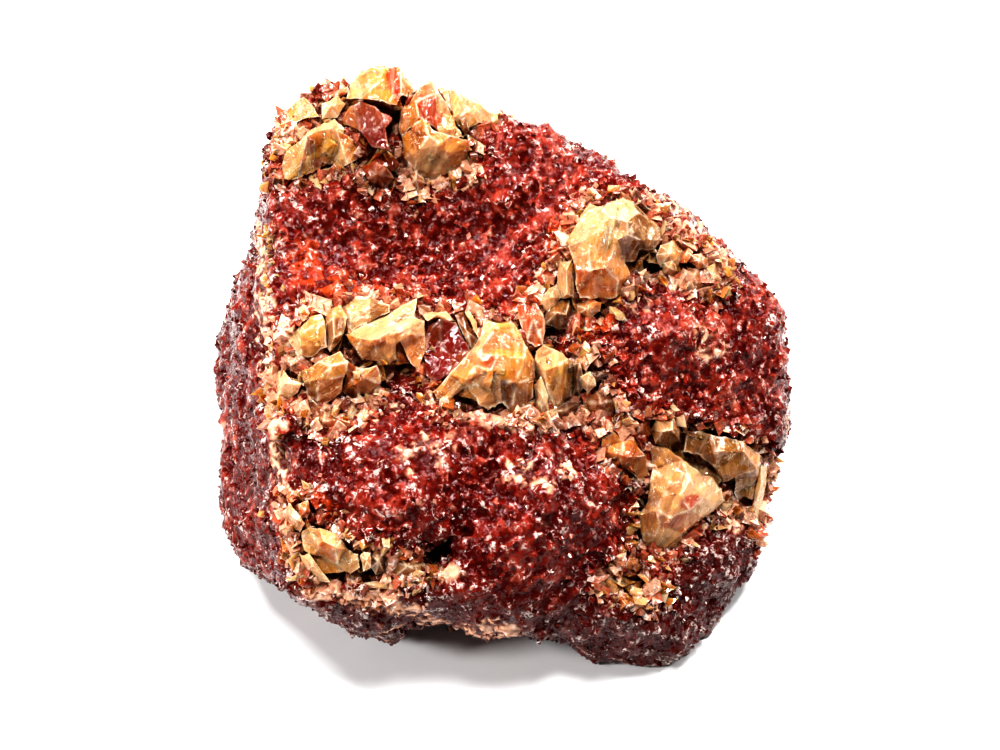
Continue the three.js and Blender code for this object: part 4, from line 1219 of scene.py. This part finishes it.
            (662, 263, 1), (672, 261, 1.5), (679, 272, 1), (670, 279, 0), (662, 274, 0),
            (670, 269, 2.8),
        ], {"olive": 0.5}),
        ("amber_bead", [
            (681, 252, 1), (688, 247, 1.5), (692, 253, 1.5), (686, 263, 1), (680, 262, 1),
            (686, 255, 3),
        ], {"iron": 0.4, "olive": 0.3}),
        ("amber_block", [
            (688, 262, 0), (692, 256, 1), (701, 254, 1), (709, 258, 0.5), (707, 267, 0),
            (698, 269, 0.5), (699, 261, 3),
        ], {"iron": 0.5}),
        ("brown_block", [
            (685, 266, 0), (698, 268, 1), (704, 285, 0.5), (696, 298, -0.5), (688, 286, 0),
            (694, 278, 2.5),
        ], {"iron": 0.4, "smoky": 0.3}),
        ("pink_block", [
            (705, 268, 0), (715, 264, 0.5), (723, 280, 0), (716, 291, -0.5), (706, 286, 0),
            (713, 276, 2.5),
        ], {"cream": 0.8}),
    ],
    "corner_crystals": [
        ("corner_fan", [
            (651, 450, 0), (658, 446, 0.5), (668, 449, 1), (681, 459, 1.5), (695, 469, 1.5),
            (711, 478, 1), (721, 489, 0.5), (723, 500, 0), (713, 512, -0.5), (703, 518, -0.5),
            (690, 530, -1), (684, 542, -1), (670, 551, -1), (655, 551, -1), (646, 545, -0.5),
            (640, 533, 0), (639, 516, 0), (648, 502, 0.5), (650, 487, 0.5), (653, 470, 0.5),
            (672, 482, 4), (690, 478, 4), (662, 492, 3.5), (681, 496, 5), (705, 500, 3),
            (690, 510, 4), (670, 518, 4), (656, 510, 3), (660, 526, 2.5), (655, 536, 1.5),
            (682, 534, 1.5),
        ], [
            ("tabcdvu", {"cream": 0.3}), ("tuws", {"cream": 0.55}), ("uvxw", {"cream": 0.4}),
            ("defgyv", {"cream": 0.8}), ("vyzx", {"cream": 0.9}), ("wxzAB", {"cream": 0.5}),
            ("swBr", {"cream": 0.3}), ("yghijz", {"cream": 1}),
            ("rBCDpq", {"iron": 0.12, "cream": 0.2}),
            ("BAzjkEC", {"iron": 0.3, "smoky": 0.2, "cream": 0.3}), ("DCElmnop", {"cream": 0.7}),
        ]),
        ("olive_block", [
            (684, 452, 0), (687, 432, 0), (697, 430, 0), (712, 435, 0.5), (722, 438, 0.5),
            (736, 438, 0.5), (743, 442, 0.5), (752, 449, 0), (761, 456, 0), (761, 463, -0.5),
            (757, 477, -0.5), (748, 493, -1), (738, 503, -1), (734, 493, 0), (735, 484, 0.5),
            (722, 483, 0), (714, 470, 1), (700, 456, 1), (718, 452, 4), (755, 468, 2),
            (744, 452, 2.5), (735, 478, 2.5),
        ], [
            ("abcdesqr", {"olive": 0.6, "smoky": 0.5}), ("efgutvpqs", {"olive": 0.7}),
            ("ghijtu", {"cream": 0.5, "iron": 0.15}), ("tjklmnov", {"olive": 0.4, "smoky": 0.3}),
        ]),
        ("grey_block", [
            (650, 430, 0), (655, 419, 0.5), (673, 417, 0.5), (680, 430, 0), (679, 440, 0),
            (667, 449, 0), (655, 445, 0), (662, 432, 2.8), (672, 430, 2.8),
        ], [
            ("abcih", {"cream": 0.6}), ("cdei", {"cream": 0.3, "smoky": 0.4}),
            ("efghi", {"smoky": 0.7}), ("gah", {"cream": 0.2, "smoky": 0.4}),
        ]),
        ("pale_rim", [
            (761, 465, 0.5), (767, 467, 0), (767, 485, -0.5), (762, 505, -1), (757, 525, -1.5),
            (751, 540, -2), (750, 520, -0.5), (756, 490, 0.5), (761, 485, 2),
        ], {"cream": 0.9}),
    ],
    "cleft_crystals": [
        ("orange_pair", [
            (600, 450, 0), (602, 437, 0.5), (614, 433, 1), (623, 441, 1.5), (632, 441, 1.5),
            (639, 447, 1), (646, 456, 0.5), (650, 478, -0.5), (639, 481, -0.5), (628, 471, 0),
            (617, 467, 0), (605, 461, 0), (623, 456, 3.5), (633, 458, 4),
        ], [
            ("abcdmkl", {"iron": 0.3}), ("defgnm", {"iron": 0.4}),
            ("nghij", {"iron": 0.2, "cream": 0.2}), ("mnjk", {"smoky": 0.2, "iron": 0.4}),
        ]),
        ("orange_cap", [
            (605, 427, 0), (616, 420, 0.5), (628, 417, 0.5), (627, 430, 0.5), (616, 436, 0),
            (606, 434, 0), (617, 428, 2.5),
        ], {"iron": 0.6}),
        ("red_gem", [
            (632, 425, 0), (641, 417, 0.5), (652, 420, 0.5), (652, 435, 0), (645, 441, 0),
            (634, 436, 0), (642, 428, 2.5),
        ], {"garnet": 0.5, "iron": 0.3}),
    ],
    "foot_crystals": [
        ("grey_knob", [
            (597, 580, 0), (604, 574, 0.5), (613, 573, 0.5), (619, 585, 0.5), (622, 589, 0),
            (615, 597, -0.5), (605, 591, 0), (610, 582, 2.5),
        ], {"smoky": 0.3, "cream": 0.45}),
        ("cream_knob", [
            (630, 593, 0), (634, 587, 0.5), (647, 589, 0.5), (652, 597, 0), (643, 603, -0.5),
            (632, 603, -0.5), (640, 595, 2),
        ], {"cream": 0.7}),
        ("brown_knob", [
            (620, 560, 0), (628, 555, 0.5), (641, 557, 0.5), (645, 567, 0), (636, 573, 0),
            (624, 568, 0), (633, 563, 2.5),
        ], {"iron": 0.3, "smoky": 0.4}),
        ("peach_knob", [
            (636, 575, 0), (644, 571, 0.5), (654, 576, 0.5), (655, 583, 0), (647, 586, 0),
            (646, 578, 2),
        ], {"cream": 0.5, "iron": 0.15}),
    ],
    "lower_left_crystals": [
        ("pale_lobe", [
            (301, 540, 0), (303, 532, 0), (310, 528, 0.5), (320, 529, 1), (335, 534, 1),
            (341, 541, 0.5), (347, 550, 0), (358, 555, 0), (360, 568, -0.5), (350, 575, -1),
            (338, 565, -0.5), (325, 558, 0), (313, 556, 0), (303, 552, 0), (322, 541, 3.5),
            (335, 548, 3.5),
        ], [
            ("abcdomn", {"cream": 0.5, "olive": 0.15}), ("defpo", {"cream": 0.7}),
            ("fghijkp", {"cream": 0.6}), ("opklm", {"cream": 0.3, "iron": 0.25}),
        ]),
        ("white_lobe", [
            (300, 556, 0), (309, 553, 1), (314, 560, 1.5), (322, 572, 0.5), (330, 582, -1),
            (318, 582, -1.5), (305, 572, -1), (312, 566, 2.4),
        ], {"cream": 1}),
        ("olive_gem", [
            (371, 556, 0), (375, 550, 0.5), (384, 549, 0.5), (388, 562, 0), (385, 574, -0.5),
            (375, 576, -0.5), (371, 568, 0), (379, 562, 2.5),
        ], {"smoky": 0.7, "olive": 0.2}),
        ("pale_gem", [
            (360, 556, 0), (364, 553, 1), (371, 553, 1), (371, 568, 0.5), (363, 572, 0),
            (366, 561, 2.2),
        ], {"cream": 0.6, "olive": 0.2}),
        ("white_strip", [
            (363, 584, 0), (378, 582, 0.5), (390, 584, 0.5), (398, 594, -0.5), (386, 591, 0),
            (366, 590, -0.5), (380, 587, 1.8),
        ], {"cream": 1}),
        ("drusy_knob", [
            (388, 560, 0), (397, 553, 0.5), (413, 556, 0.5), (428, 566, 0), (431, 577, -0.5),
            (410, 580, -1), (393, 578, -0.5), (408, 567, 3),
        ], {"cream": 0.55, "olive": 0.25}),
        ("side_shard", [
            (283, 512, 0), (290, 505, 0.5), (296, 512, 1), (305, 524, 0.5), (300, 533, 0),
            (291, 527, 0), (294, 518, 2.5),
        ], {"cream": 0.6, "iron": 0.2}),
        ("orange_chip", [
            (299, 505, 0), (307, 502, 0.5), (312, 512, 0), (307, 520, 0), (300, 518, 0),
            (305, 511, 2),
        ], {"iron": 0.6}),
    ],
}


# Small stains inside the cut crystals: u, v, half width, half height, lean, strength
INCLUSIONS = {
    "iron": [
        (-20.3, 54, 1.7, 4, 10, 1), (-14.5, 50.5, 2.2, 2, 0, 0.8), (-13, 47.5, 2.2, 2, -30, 0.7),
        (-2, 0.8, 1.6, 1.6, 0, 0.6), (35.8, -25.8, 2.2, 1.6, 20, 0.9), (33, -29.5, 3, 1.2, 25, 0.6),
        (17, 14, 4, 3, 0, 0.5), (-36, 39, 3, 1.5, 0, 0.6),
    ],
    "smoky": [
        (25, 22.5, 3.2, 3.5, 0, 0.7), (4, -5, 2.5, 2.5, 0, 0.6), (-31, 7, 2, 3, 0, 0.5),
        (-36.5, 41.5, 1.5, 2, 0, 0.5),
    ],
    "cream": [
        (22.5, 30, 4, 2, 0, 0.8), (38, -24, 4, 5, -30, 0.9), (-19.5, 8.5, 6, 1.2, 28, 0.9),
    ],
}


# %% Build the cut crystals
CRYSTAL_NODES = list(CUT_CRYSTALS)
CRYSTAL_CELL = 0.5
# millimetres, apart from WIDENING, which is how much wider a crystal is where it is buried
BURIED, WIDENING, ROOT_SHRINK, BASE_DROP = 6, 1.06, 2.0, 0.6
FIBRE_STEPS, STEP_HEIGHT, CHIP_DEPTH = 6, 0.55, 0.22
EYE = Vector(from_sight(0, 0, SIGHT_DISTANCE / MM))
CAD_TREES = {name: surface_tree(node.data) for name, node in frame["nodes"].items()}


def seen_depth(u, v):
    """How near the viewer the CAD surface comes at (u, v), or None where there is only air."""
    aim = (Vector(from_sight(u, v, 0)) - EYE).normalized()
    hits = [tree.ray_cast(EYE, aim) for tree in CAD_TREES.values()]
    depths = [to_sight(np.array([place]))[0, 2] for place, *_ in hits if place is not None]
    return max(depths, default=None)


def sight_corners(corners):
    """Corners as (u, v, height) in millimetres, with u and v rounded to a tenth."""
    placed = []
    for across, down, height in corners:
        u, v = (across - MIDDLE_ACROSS) * CORNER_STEP, (MIDDLE_DOWN - down) * CORNER_STEP
        placed.append((round(u, 1), round(v, 1), height))
    return placed


def base_plane(corners):
    """The plane w = a + b u + c v that fits the CAD surface under a crystal's corners."""
    known = [(1, u, v, depth) for u, v, _ in corners if (depth := seen_depth(u, v)) is not None]
    known = np.array(known)
    return np.linalg.lstsq(known[:, :3], known[:, 3], rcond=None)[0]


def facing_loops(corners, faces):
    """The faces as (corner numbers, stains), all turned to face the viewer."""
    if isinstance(faces, dict):
        tip = len(corners) - 1
        faces = [((i, (i + 1) % tip, tip), faces) for i in range(tip)]
    else:
        faces = [([LETTERS.index(letter) for letter in face], stains) for face, stains in faces]
    u, v = np.array(corners)[:, :2].T
    turned = []
    for loop, stains in faces:
        order, following = list(loop), list(np.roll(loop, -1))
        area = np.sum(u[order] * v[following] - v[order] * u[following])
        turned.append((order if area > 0 else order[::-1], stains))
    return turned


def closed_crystal(corners, faces):
    """Places of the corners and all faces of one closed crystal."""
    loops = facing_loops(corners, faces)
    a, b, c = base_plane(corners)
    sight = np.array([(u, v, a + b * u + c * v + height - BASE_DROP) for u, v, height in corners])
    middle = sight.mean(axis=0)
    deep = middle + (sight - middle) * (WIDENING, WIDENING, 1) - (0, 0, BURIED)
    places = np.array([from_sight(*corner) for corner in (*sight, *deep)])
    sides = {(loop[i - 1], loop[i]): stains for loop, stains in loops for i in range(len(loop))}
    rim = {start: end for start, end in sides if (end, start) not in sides}
    count, solid = len(corners), list(loops)
    for start, end in rim.items():
        solid.append(([end, start, start + count, end + count], sides[start, end]))
    order = [next(iter(rim))]
    while rim[order[-1]] != order[0]:
        order.append(rim[order[-1]])
    solid.append(([corner + count for corner in reversed(order)], {}))
    return places, solid


def cut_cluster(node_name):
    """All cut crystals of a cluster as one mesh, with their stains painted on the faces."""
    places, loops, stains = [], [], []
    for _, corners, faces in CUT_CRYSTALS[node_name]:
        crystal, solid = closed_crystal(sight_corners(corners), faces)
        loops += [[corner + sum(map(len, places)) for corner in loop] for loop, _ in solid]
        stains += [stain for _, stain in solid]
        places.append(crystal)
    mesh = bpy.data.meshes.new(node_name)
    mesh.from_pydata([tuple(place) for place in np.concatenate(places)], [], loops)
    for name in STAINS:
        paint(mesh, name, [stain.get(name, 0) for stain in stains], "FACE")
    return mesh


def cluster_root(node_name):
    """The CAD cluster, drawn in a little, with stains by where each face lies."""
    solid = welded(frame["nodes"][node_name].data)
    move_vertices(solid, vertex_places(solid) - vertex_normals(solid) * ROOT_SHRINK * MM)
    solid = finely_cut(solid, 2 * CRYSTAL_CELL)
    middles = np.array([face.center for face in solid.polygons])
    rim = 0.25 * fray(middles, 4, 11)
    for name, spots in STAINS.items():
        paint(solid, name, patches(to_sight(middles), spots, rim), "FACE")
    return solid


def sharp_edges(mesh, angle=18, step=0.4 * MM):
    """A search tree of points along the edges of a solid that are sharper than angle."""
    solid, points = opened(mesh), []
    for edge in solid.edges:
        if len(edge.link_faces) == 2 and edge.calc_face_angle(0) > math.radians(angle):
            start, end = (vertex.co for vertex in edge.verts)
            count = max(2, int((end - start).length / step))
            points += [start.lerp(end, i / (count - 1)) for i in range(count)]
    solid.free()
    return search_tree(points)


def face_numbers(mesh, name):
    values = np.empty(len(mesh.polygons))
    mesh.attributes[name].data.foreach_get("value", values)
    return values


def dressed_cluster(node_name):
    """Cut crystals and root in one mesh, stepped along the fibres and chipped along the edges."""
    cut = cut_cluster(node_name)
    edges = sharp_edges(cut)
    cut = finely_cut(cut, CRYSTAL_CELL)
    middles = np.array([face.center for face in cut.polygons])
    rim = 0.3 * fray(middles, 3, 11) + 0.3 * fray(middles, 0.9, 12)
    for name, spots in INCLUSIONS.items():
        stained = np.maximum(face_numbers(cut, name), patches(to_sight(middles), spots, rim))
        cut.attributes[name].data.foreach_set("value", stained.astype(np.float32))
    parts = [cut, cluster_root(node_name)]
    mesh = joined(node_name, *parts)
    for name in STAINS:
        if name in mesh.attributes:
            mesh.attributes.remove(mesh.attributes[name])
        paint(mesh, name, np.concatenate([face_numbers(part, name) for part in parts]), "FACE")
    places, normals = vertex_places(mesh), vertex_normals(mesh)
    along, across = fibre_frame(places, node_name)
    fibres = [noise.noise(Vector((a * 0.55, b * 0.05, 3.0))) for a, b in zip(across, along)]
    steps = np.floor(np.array(fibres) * FIBRE_STEPS) / FIBRE_STEPS
    away = np.array([edges.find(place)[2] for place in places]) / MM
    chips = ramp(0.1, 0.5, fray(places, 1.6, 13)) * ramp(0.9, 0.15, away)
    push = STEP_HEIGHT * steps - CHIP_DEPTH * chips
    move_vertices(mesh, places + normals * (push * MM)[:, None])
    # White along the sharp edges and on the chips, partly frosted calcite and partly painted
    # highlight.
    frost_and_glint = ramp(0.5, 0.08, away) * ramp(-0.3, 0.2, fray(places, 3, 15))
    paint(mesh, "edge", np.maximum(frost_and_glint, 0.8 * chips))
    paint(mesh, "along", along)
    paint(mesh, "across", across)
    crisp_shading(mesh, 13)
    return mesh


honey = make_honey()
for node_name in CRYSTAL_NODES:
    dressed = dressed_cluster(node_name)
    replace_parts(add_piece("dressed_" + node_name, dressed, honey), node_name)

# %% [markdown]
# ## Loose grains
# On top of the fused crust stand smaller separate rhombs, which give the crisp glints. Close to
# a honey crystal the grains are bigger and stand prouder, and so close the gap beside it. Half
# of those are pale and a quarter are stained. Grains inside a big crystal are left out.

# %% Clear of the big crystals
GRAIN_SPACING = 1.25
DRESSED = [bpy.data.objects["dressed_" + name] for name in CRYSTAL_NODES]
CRYSTAL_TREES = [surface_tree(piece.data) for piece in DRESSED]
REACH = 7


def crystal_clearance(places):
    """Distance in millimetres to the nearest big crystal, up to REACH, and negative inside."""
    clear = np.full(len(places), float(REACH))
    for index, place in enumerate(places):
        place = Vector(place)
        for tree in CRYSTAL_TREES:
            hit, normal, _, distance = tree.find_nearest(place, REACH * MM)
            if hit is not None:
                side = 1 if (place - hit).dot(normal) > 0 else -1
                clear[index] = min(clear[index], side * distance / MM)
    return clear


grain_bed = even_skin(rock_body, GRAIN_SPACING)
bed_places, bed_normals = vertex_places(grain_bed), vertex_normals(grain_bed)
bed_places = bed_places + rng.normal(0, GRAIN_SPACING * 0.3 * MM, bed_places.shape)
bed_clear = crystal_clearance(bed_places)
open_bed = (bed_clear > 0.1) & (bed_places[:, 2] > 1.3 * MM)
open_bed &= in_crack(bed_places, bed_normals) < 0.4
bed_places, bed_normals = bed_places[open_bed], bed_normals[open_bed]
bed_clear = bed_clear[open_bed]
bed_zones = rock_zones(bed_places, bed_normals, rng.random(len(bed_places)))
print("Places for grains:", len(bed_places))


# %% Red grains
BORDER_WIDTH, BORDER_SHARE, SPRINKLED_SHARE = 4.2, 0.92, 0.25
# a grain right against a crystal is this share bigger, and this many millimetres prouder
BIGGER, PROUDER = 0.75, 0.9


def grow_grains(name, chosen, low, high, stand, material):
    """A crust of grains with edges between low and high millimetres, bigger against a crystal."""
    places, normals, clear = bed_places[chosen], bed_normals[chosen], bed_clear[chosen]
    count, close = len(places), ramp(2.4, 0.4, clear)
    edges = rng.uniform(low, high, (count, 1)) * rng.uniform(0.7, 1.15, (count, 3)) * MM
    edges = edges * (1 + BIGGER * close[:, None])
    proud = rng.uniform(*stand, count) + PROUDER * close
    mesh = plant(name, places, normals, edges, proud * MM, size=4, looseness=0.35, uneven=0.15)
    numbers = {zone: bed_zones[zone][chosen] * rng.uniform(0.6, 1.0, count) for zone in bed_zones}
    near = speckled(ramp(3.5, 0.6, clear + 1.8 * fray(places, 3, 7)), rng.random(count))
    kind, strength = rng.random(count), rng.uniform(0.45, 1, count)
    numbers["pale"] = np.maximum(numbers["pale"], near * strength * np.where(kind < 0.5, 1, 0.25))
    numbers["stain"] = np.maximum(numbers["stain"], near * strength * (kind > 0.75))
    numbers["tone"] = grain_tones(places)
    numbers["hollow"] = rng.uniform(0.3, 0.6, count)
    paint_crystals(mesh, numbers)
    return add_piece(name, mesh, material)


red_grain = make_red_calcite("red_calcite_grain", facet_scale=1500.0, facet_tilt=0.7)
chance = rng.random(len(bed_places))
bordering = (bed_clear < BORDER_WIDTH) & (chance < BORDER_SHARE)
sprinkled = ~bordering & (chance < SPRINKLED_SHARE)
grow_grains("red_grains", sprinkled, 0.5, 1.0, (0.05, 0.3), red_grain)
grow_grains("pale_crust", bordering, 0.8, 1.9, (0.2, 0.8), red_grain)

# %% Small honey crystals
STAIN_NAMES = list(STAINS)
STAIN_ODDS = (0.14, 0.17, 0.2, 0.24, 0.05)
CRUST_WIDTH, CRUST_SHARE = 3.2, 0.36
LONGEST_EDGE, EDGE_FROST = 2.6, (-0.8, 0.8)


def broken_crystals(name, places, normals, typical, spread, uneven, stretch, stand, size, loose):
    """Broken rhombs with edges near typical millimetres, uneven ones stretched along the last."""
    count = len(places)
    edges = rng.lognormal(math.log(typical), spread, (count, 1))
    edges = edges * rng.uniform(*uneven, (count, 3)) * stretch * MM
    edges = np.minimum(edges, LONGEST_EDGE * MM)
    proud = rng.uniform(*stand, count) * MM
    return plant(name, places, normals, edges, proud, size, loose, uneven=0.24)


def grow_honey_crust(name, chosen, material):
    """Small crystals round the clusters, each clear honey or with one stain of its own."""
    places, normals, count = bed_places[chosen], bed_normals[chosen], int(chosen.sum())
    mesh = broken_crystals(
        name, places, normals, 1.15, 0.3, (0.6, 1.4), (1, 1, 1.5), (0.5, 2.2), size=3, loose=0.5,
    )
    kind, strength = rng.random(count), rng.uniform(0.6, 1, count)
    numbers = {"edge": rng.uniform(*EDGE_FROST, count)}
    numbers["along"], numbers["across"] = rng.uniform(0, 30, count), rng.uniform(0, 30, count)
    for stain, low, odds in zip(STAIN_NAMES, np.cumsum((0, *STAIN_ODDS)), STAIN_ODDS):
        picked = strength * ((kind >= low) & (kind < low + odds))
        numbers[stain] = picked * (0.6 if stain == "iron" else 1)
    paint_crystals(mesh, numbers)
    return add_piece(name, mesh, material)


luck = rng.random(len(bed_places))
around = (bed_clear < CRUST_WIDTH) & (luck < CRUST_SHARE * ramp(3.4, 1.0, bed_clear))
grow_honey_crust("honey_crust", around, honey)

# %% [markdown]
# ## Blocks between the clusters
# Between the large crystals and the red rock lies a belt of small broken blocks, grown at all
# angles, with edges of up to 2.6 millimetres. Where the belts run, how full they are and which
# stain is common in each is listed.

# %% Belts of blocks
# u, v, half width, half height, lean, how full, common stain
BELTS = [
    (-19, 37, 19, 3.5, -3, 0.9, "cream"), (-39, 46, 5, 6, 0, 0.6, "cream"),
    (-4.5, 48.5, 6, 4, -30, 0.8, "cream"), (-29, 3.5, 14, 9.5, 0, 0.9, "cream"),
    (-28, -6.5, 13, 3, 5, 0.8, "iron"), (5, -6.5, 18, 5, -8, 0.9, "cream"),
    (12, 9, 6, 6, 0, 0.9, "smoky"), (18.5, 20, 10, 11, 0, 0.7, "cream"),
    (36.5, 19.5, 10, 5, -25, 0.9, "iron"), (23, -15, 7, 5, -30, 1.0, "iron"),
    (38, -13.5, 11, 3, -10, 0.9, "smoky"), (48, -24, 3.5, 6, 0, 0.45, "cream"),
    (-33.5, -35, 9, 8, -35, 0.9, "cream"), (-17.5, -39, 8, 3.5, -10, 0.9, "olive"),
    (25, -40.5, 9, 4, 0, 0.35, "cream"), (-42.5, -12, 2.5, 8, 0, 0.6, "cream"),
    (-43.5, 20, 3, 8, 0, 0.6, "cream"), (34, -31, 6, 4, 40, 0.8, "iron"),
]
BLOCK_SHARE, COMMON_SHARE, STAINED_SHARE = 0.6, 0.3, 0.8
FIBRE_RUN = 3


def block_numbers(mesh, places, stains):
    """Paints the blocks: a stain for each block, and frost on some."""
    count = len(places)
    sight = to_sight(places)
    rim = 0.3 * fray(places, 4, 11)
    numbers = {name: patches(sight, spots, rim) for name, spots in STAINS.items()}
    for index, stain in enumerate(stains):
        if stain:
            low, high = (0.3, 0.6) if stain == "iron" else (0.6, 1)
            numbers[stain][index] = rng.uniform(low, high)
    numbers["edge"] = rng.uniform(*EDGE_FROST, count)
    numbers["along"], across = rng.uniform(0, 30, count), rng.uniform(0, 60, count)
    paint_crystals(mesh, numbers)
    along_block = np.tile(np.array(CORNERS)[:, 0] * FIBRE_RUN, count)
    paint(mesh, "across", np.repeat(across, CORNER_COUNT) + along_block)


def grow_belts(name, material):
    sight = to_sight(bed_places)
    shown = (bed_normals @ SIGHT_NEAR > 0.05) & (bed_clear > -0.1)
    full, common = np.zeros(len(sight)), np.zeros(len(sight), int)
    for index, (u, v, wide, tall, lean, fullness, _) in enumerate(BELTS):
        here = fullness * ramp(0, 0.5, patch(sight, u, v, wide, tall, lean))
        common[here > full] = index
        full = np.maximum(full, here)
    chosen = shown & (rng.random(len(sight)) < BLOCK_SHARE * full)
    places, normals, count = bed_places[chosen], bed_normals[chosen], int(chosen.sum())
    mesh = broken_crystals(
        name, places, normals, 1.05, 0.35, (0.5, 1.4), (1.1, 0.6, 1.7), (0.2, 1.1),
        size=4, loose=0.45,
    )
    luck, other = rng.random(count), rng.integers(0, len(STAIN_NAMES), count)
    stains = []
    for belt, pick, extra in zip(common[chosen], luck, other):
        any_stain = STAIN_NAMES[extra] if pick < STAINED_SHARE else None
        stains.append(BELTS[belt][6] if pick < COMMON_SHARE else any_stain)
    block_numbers(mesh, places, stains)
    add_piece(name, mesh, material)


grow_belts("honey_blocks", honey)

# %% [markdown]
# ## Floor, light and camera
# A plain white floor, and five small square lamps: two behind the lump, one overhead and one on
# each side. Small lamps keep the crevices dark and put the sparkle on the facets. The camera
# stands at the display viewpoint with a long lens.

# %% Floor
FLOOR_HALF = 2
floor_rim = [(x * FLOOR_HALF, y * FLOOR_HALF, 0) for x, y in ((-1, -1), (1, -1), (1, 1), (-1, 1))]
floor_mesh = bpy.data.meshes.new("floor")
floor_mesh.from_pydata(floor_rim, [], [(0, 1, 2, 3)])
floor = put_in_scene("floor", floor_mesh)
floor_material, _, _ = new_material("white_table", Base_Color=(0.8, 0.8, 0.8, 1), Roughness=0.8)
floor_mesh.materials.append(floor_material)


# %% Light
# name, place in metres, width in metres, watts
LAMPS = [
    ("behind_right", (0.4, 0.5, 0.6), 0.19, 4.4), ("behind_left", (-0.45, 0.4, 0.6), 0.16, 2.9),
    ("overhead", (0.05, 0.05, 0.9), 0.16, 3.1), ("right", (0.6, 0.15, 0.6), 0.14, 1.9),
    ("left", (-0.65, -0.2, 0.5), 0.14, 3.1),
]
LAMP_TARGET = Vector((0, 0, 0.03))
WORLD_STRENGTH, EXPOSURE = 0.07, 0.45

for name, place, width, watts in LAMPS:
    lamp = bpy.data.lights.new(name, "AREA")
    lamp.size = width
    lamp.energy = watts
    holder = put_in_scene(name, lamp)
    holder.location = place
    holder.rotation_euler = (LAMP_TARGET - Vector(place)).to_track_quat("-Z", "Y").to_euler()

world = bpy.data.worlds.new("studio")
world.use_nodes = True
background = world.node_tree.nodes["Background"].inputs
background["Color"].default_value = (1, 1, 1, 1)
background["Strength"].default_value = WORLD_STRENGTH
bpy.context.scene.world = world
bpy.context.scene.view_settings.view_transform = "Standard"
bpy.context.scene.view_settings.look = "Very High Contrast"
bpy.context.scene.view_settings.exposure = EXPOSURE
print("Lamps:", [name for name, *_ in LAMPS])

# %% Camera
FRAME_WIDTH, SENSOR_WIDTH = 190 * MM, 36
FRAME_MIDDLE = from_sight(-0.38, -1.52, 0)
camera = bpy.data.cameras.new("display")
camera.sensor_width = SENSOR_WIDTH
camera.lens = SENSOR_WIDTH * SIGHT_DISTANCE / FRAME_WIDTH
holder = put_in_scene("display", camera)
holder.location = FRAME_MIDDLE + SIGHT_NEAR * SIGHT_DISTANCE
holder.rotation_euler = Vector(SIGHT_NEAR).to_track_quat("Z", "Y").to_euler()
bpy.context.scene.camera = holder
print("Camera at", [round(c, 3) for c in holder.location])
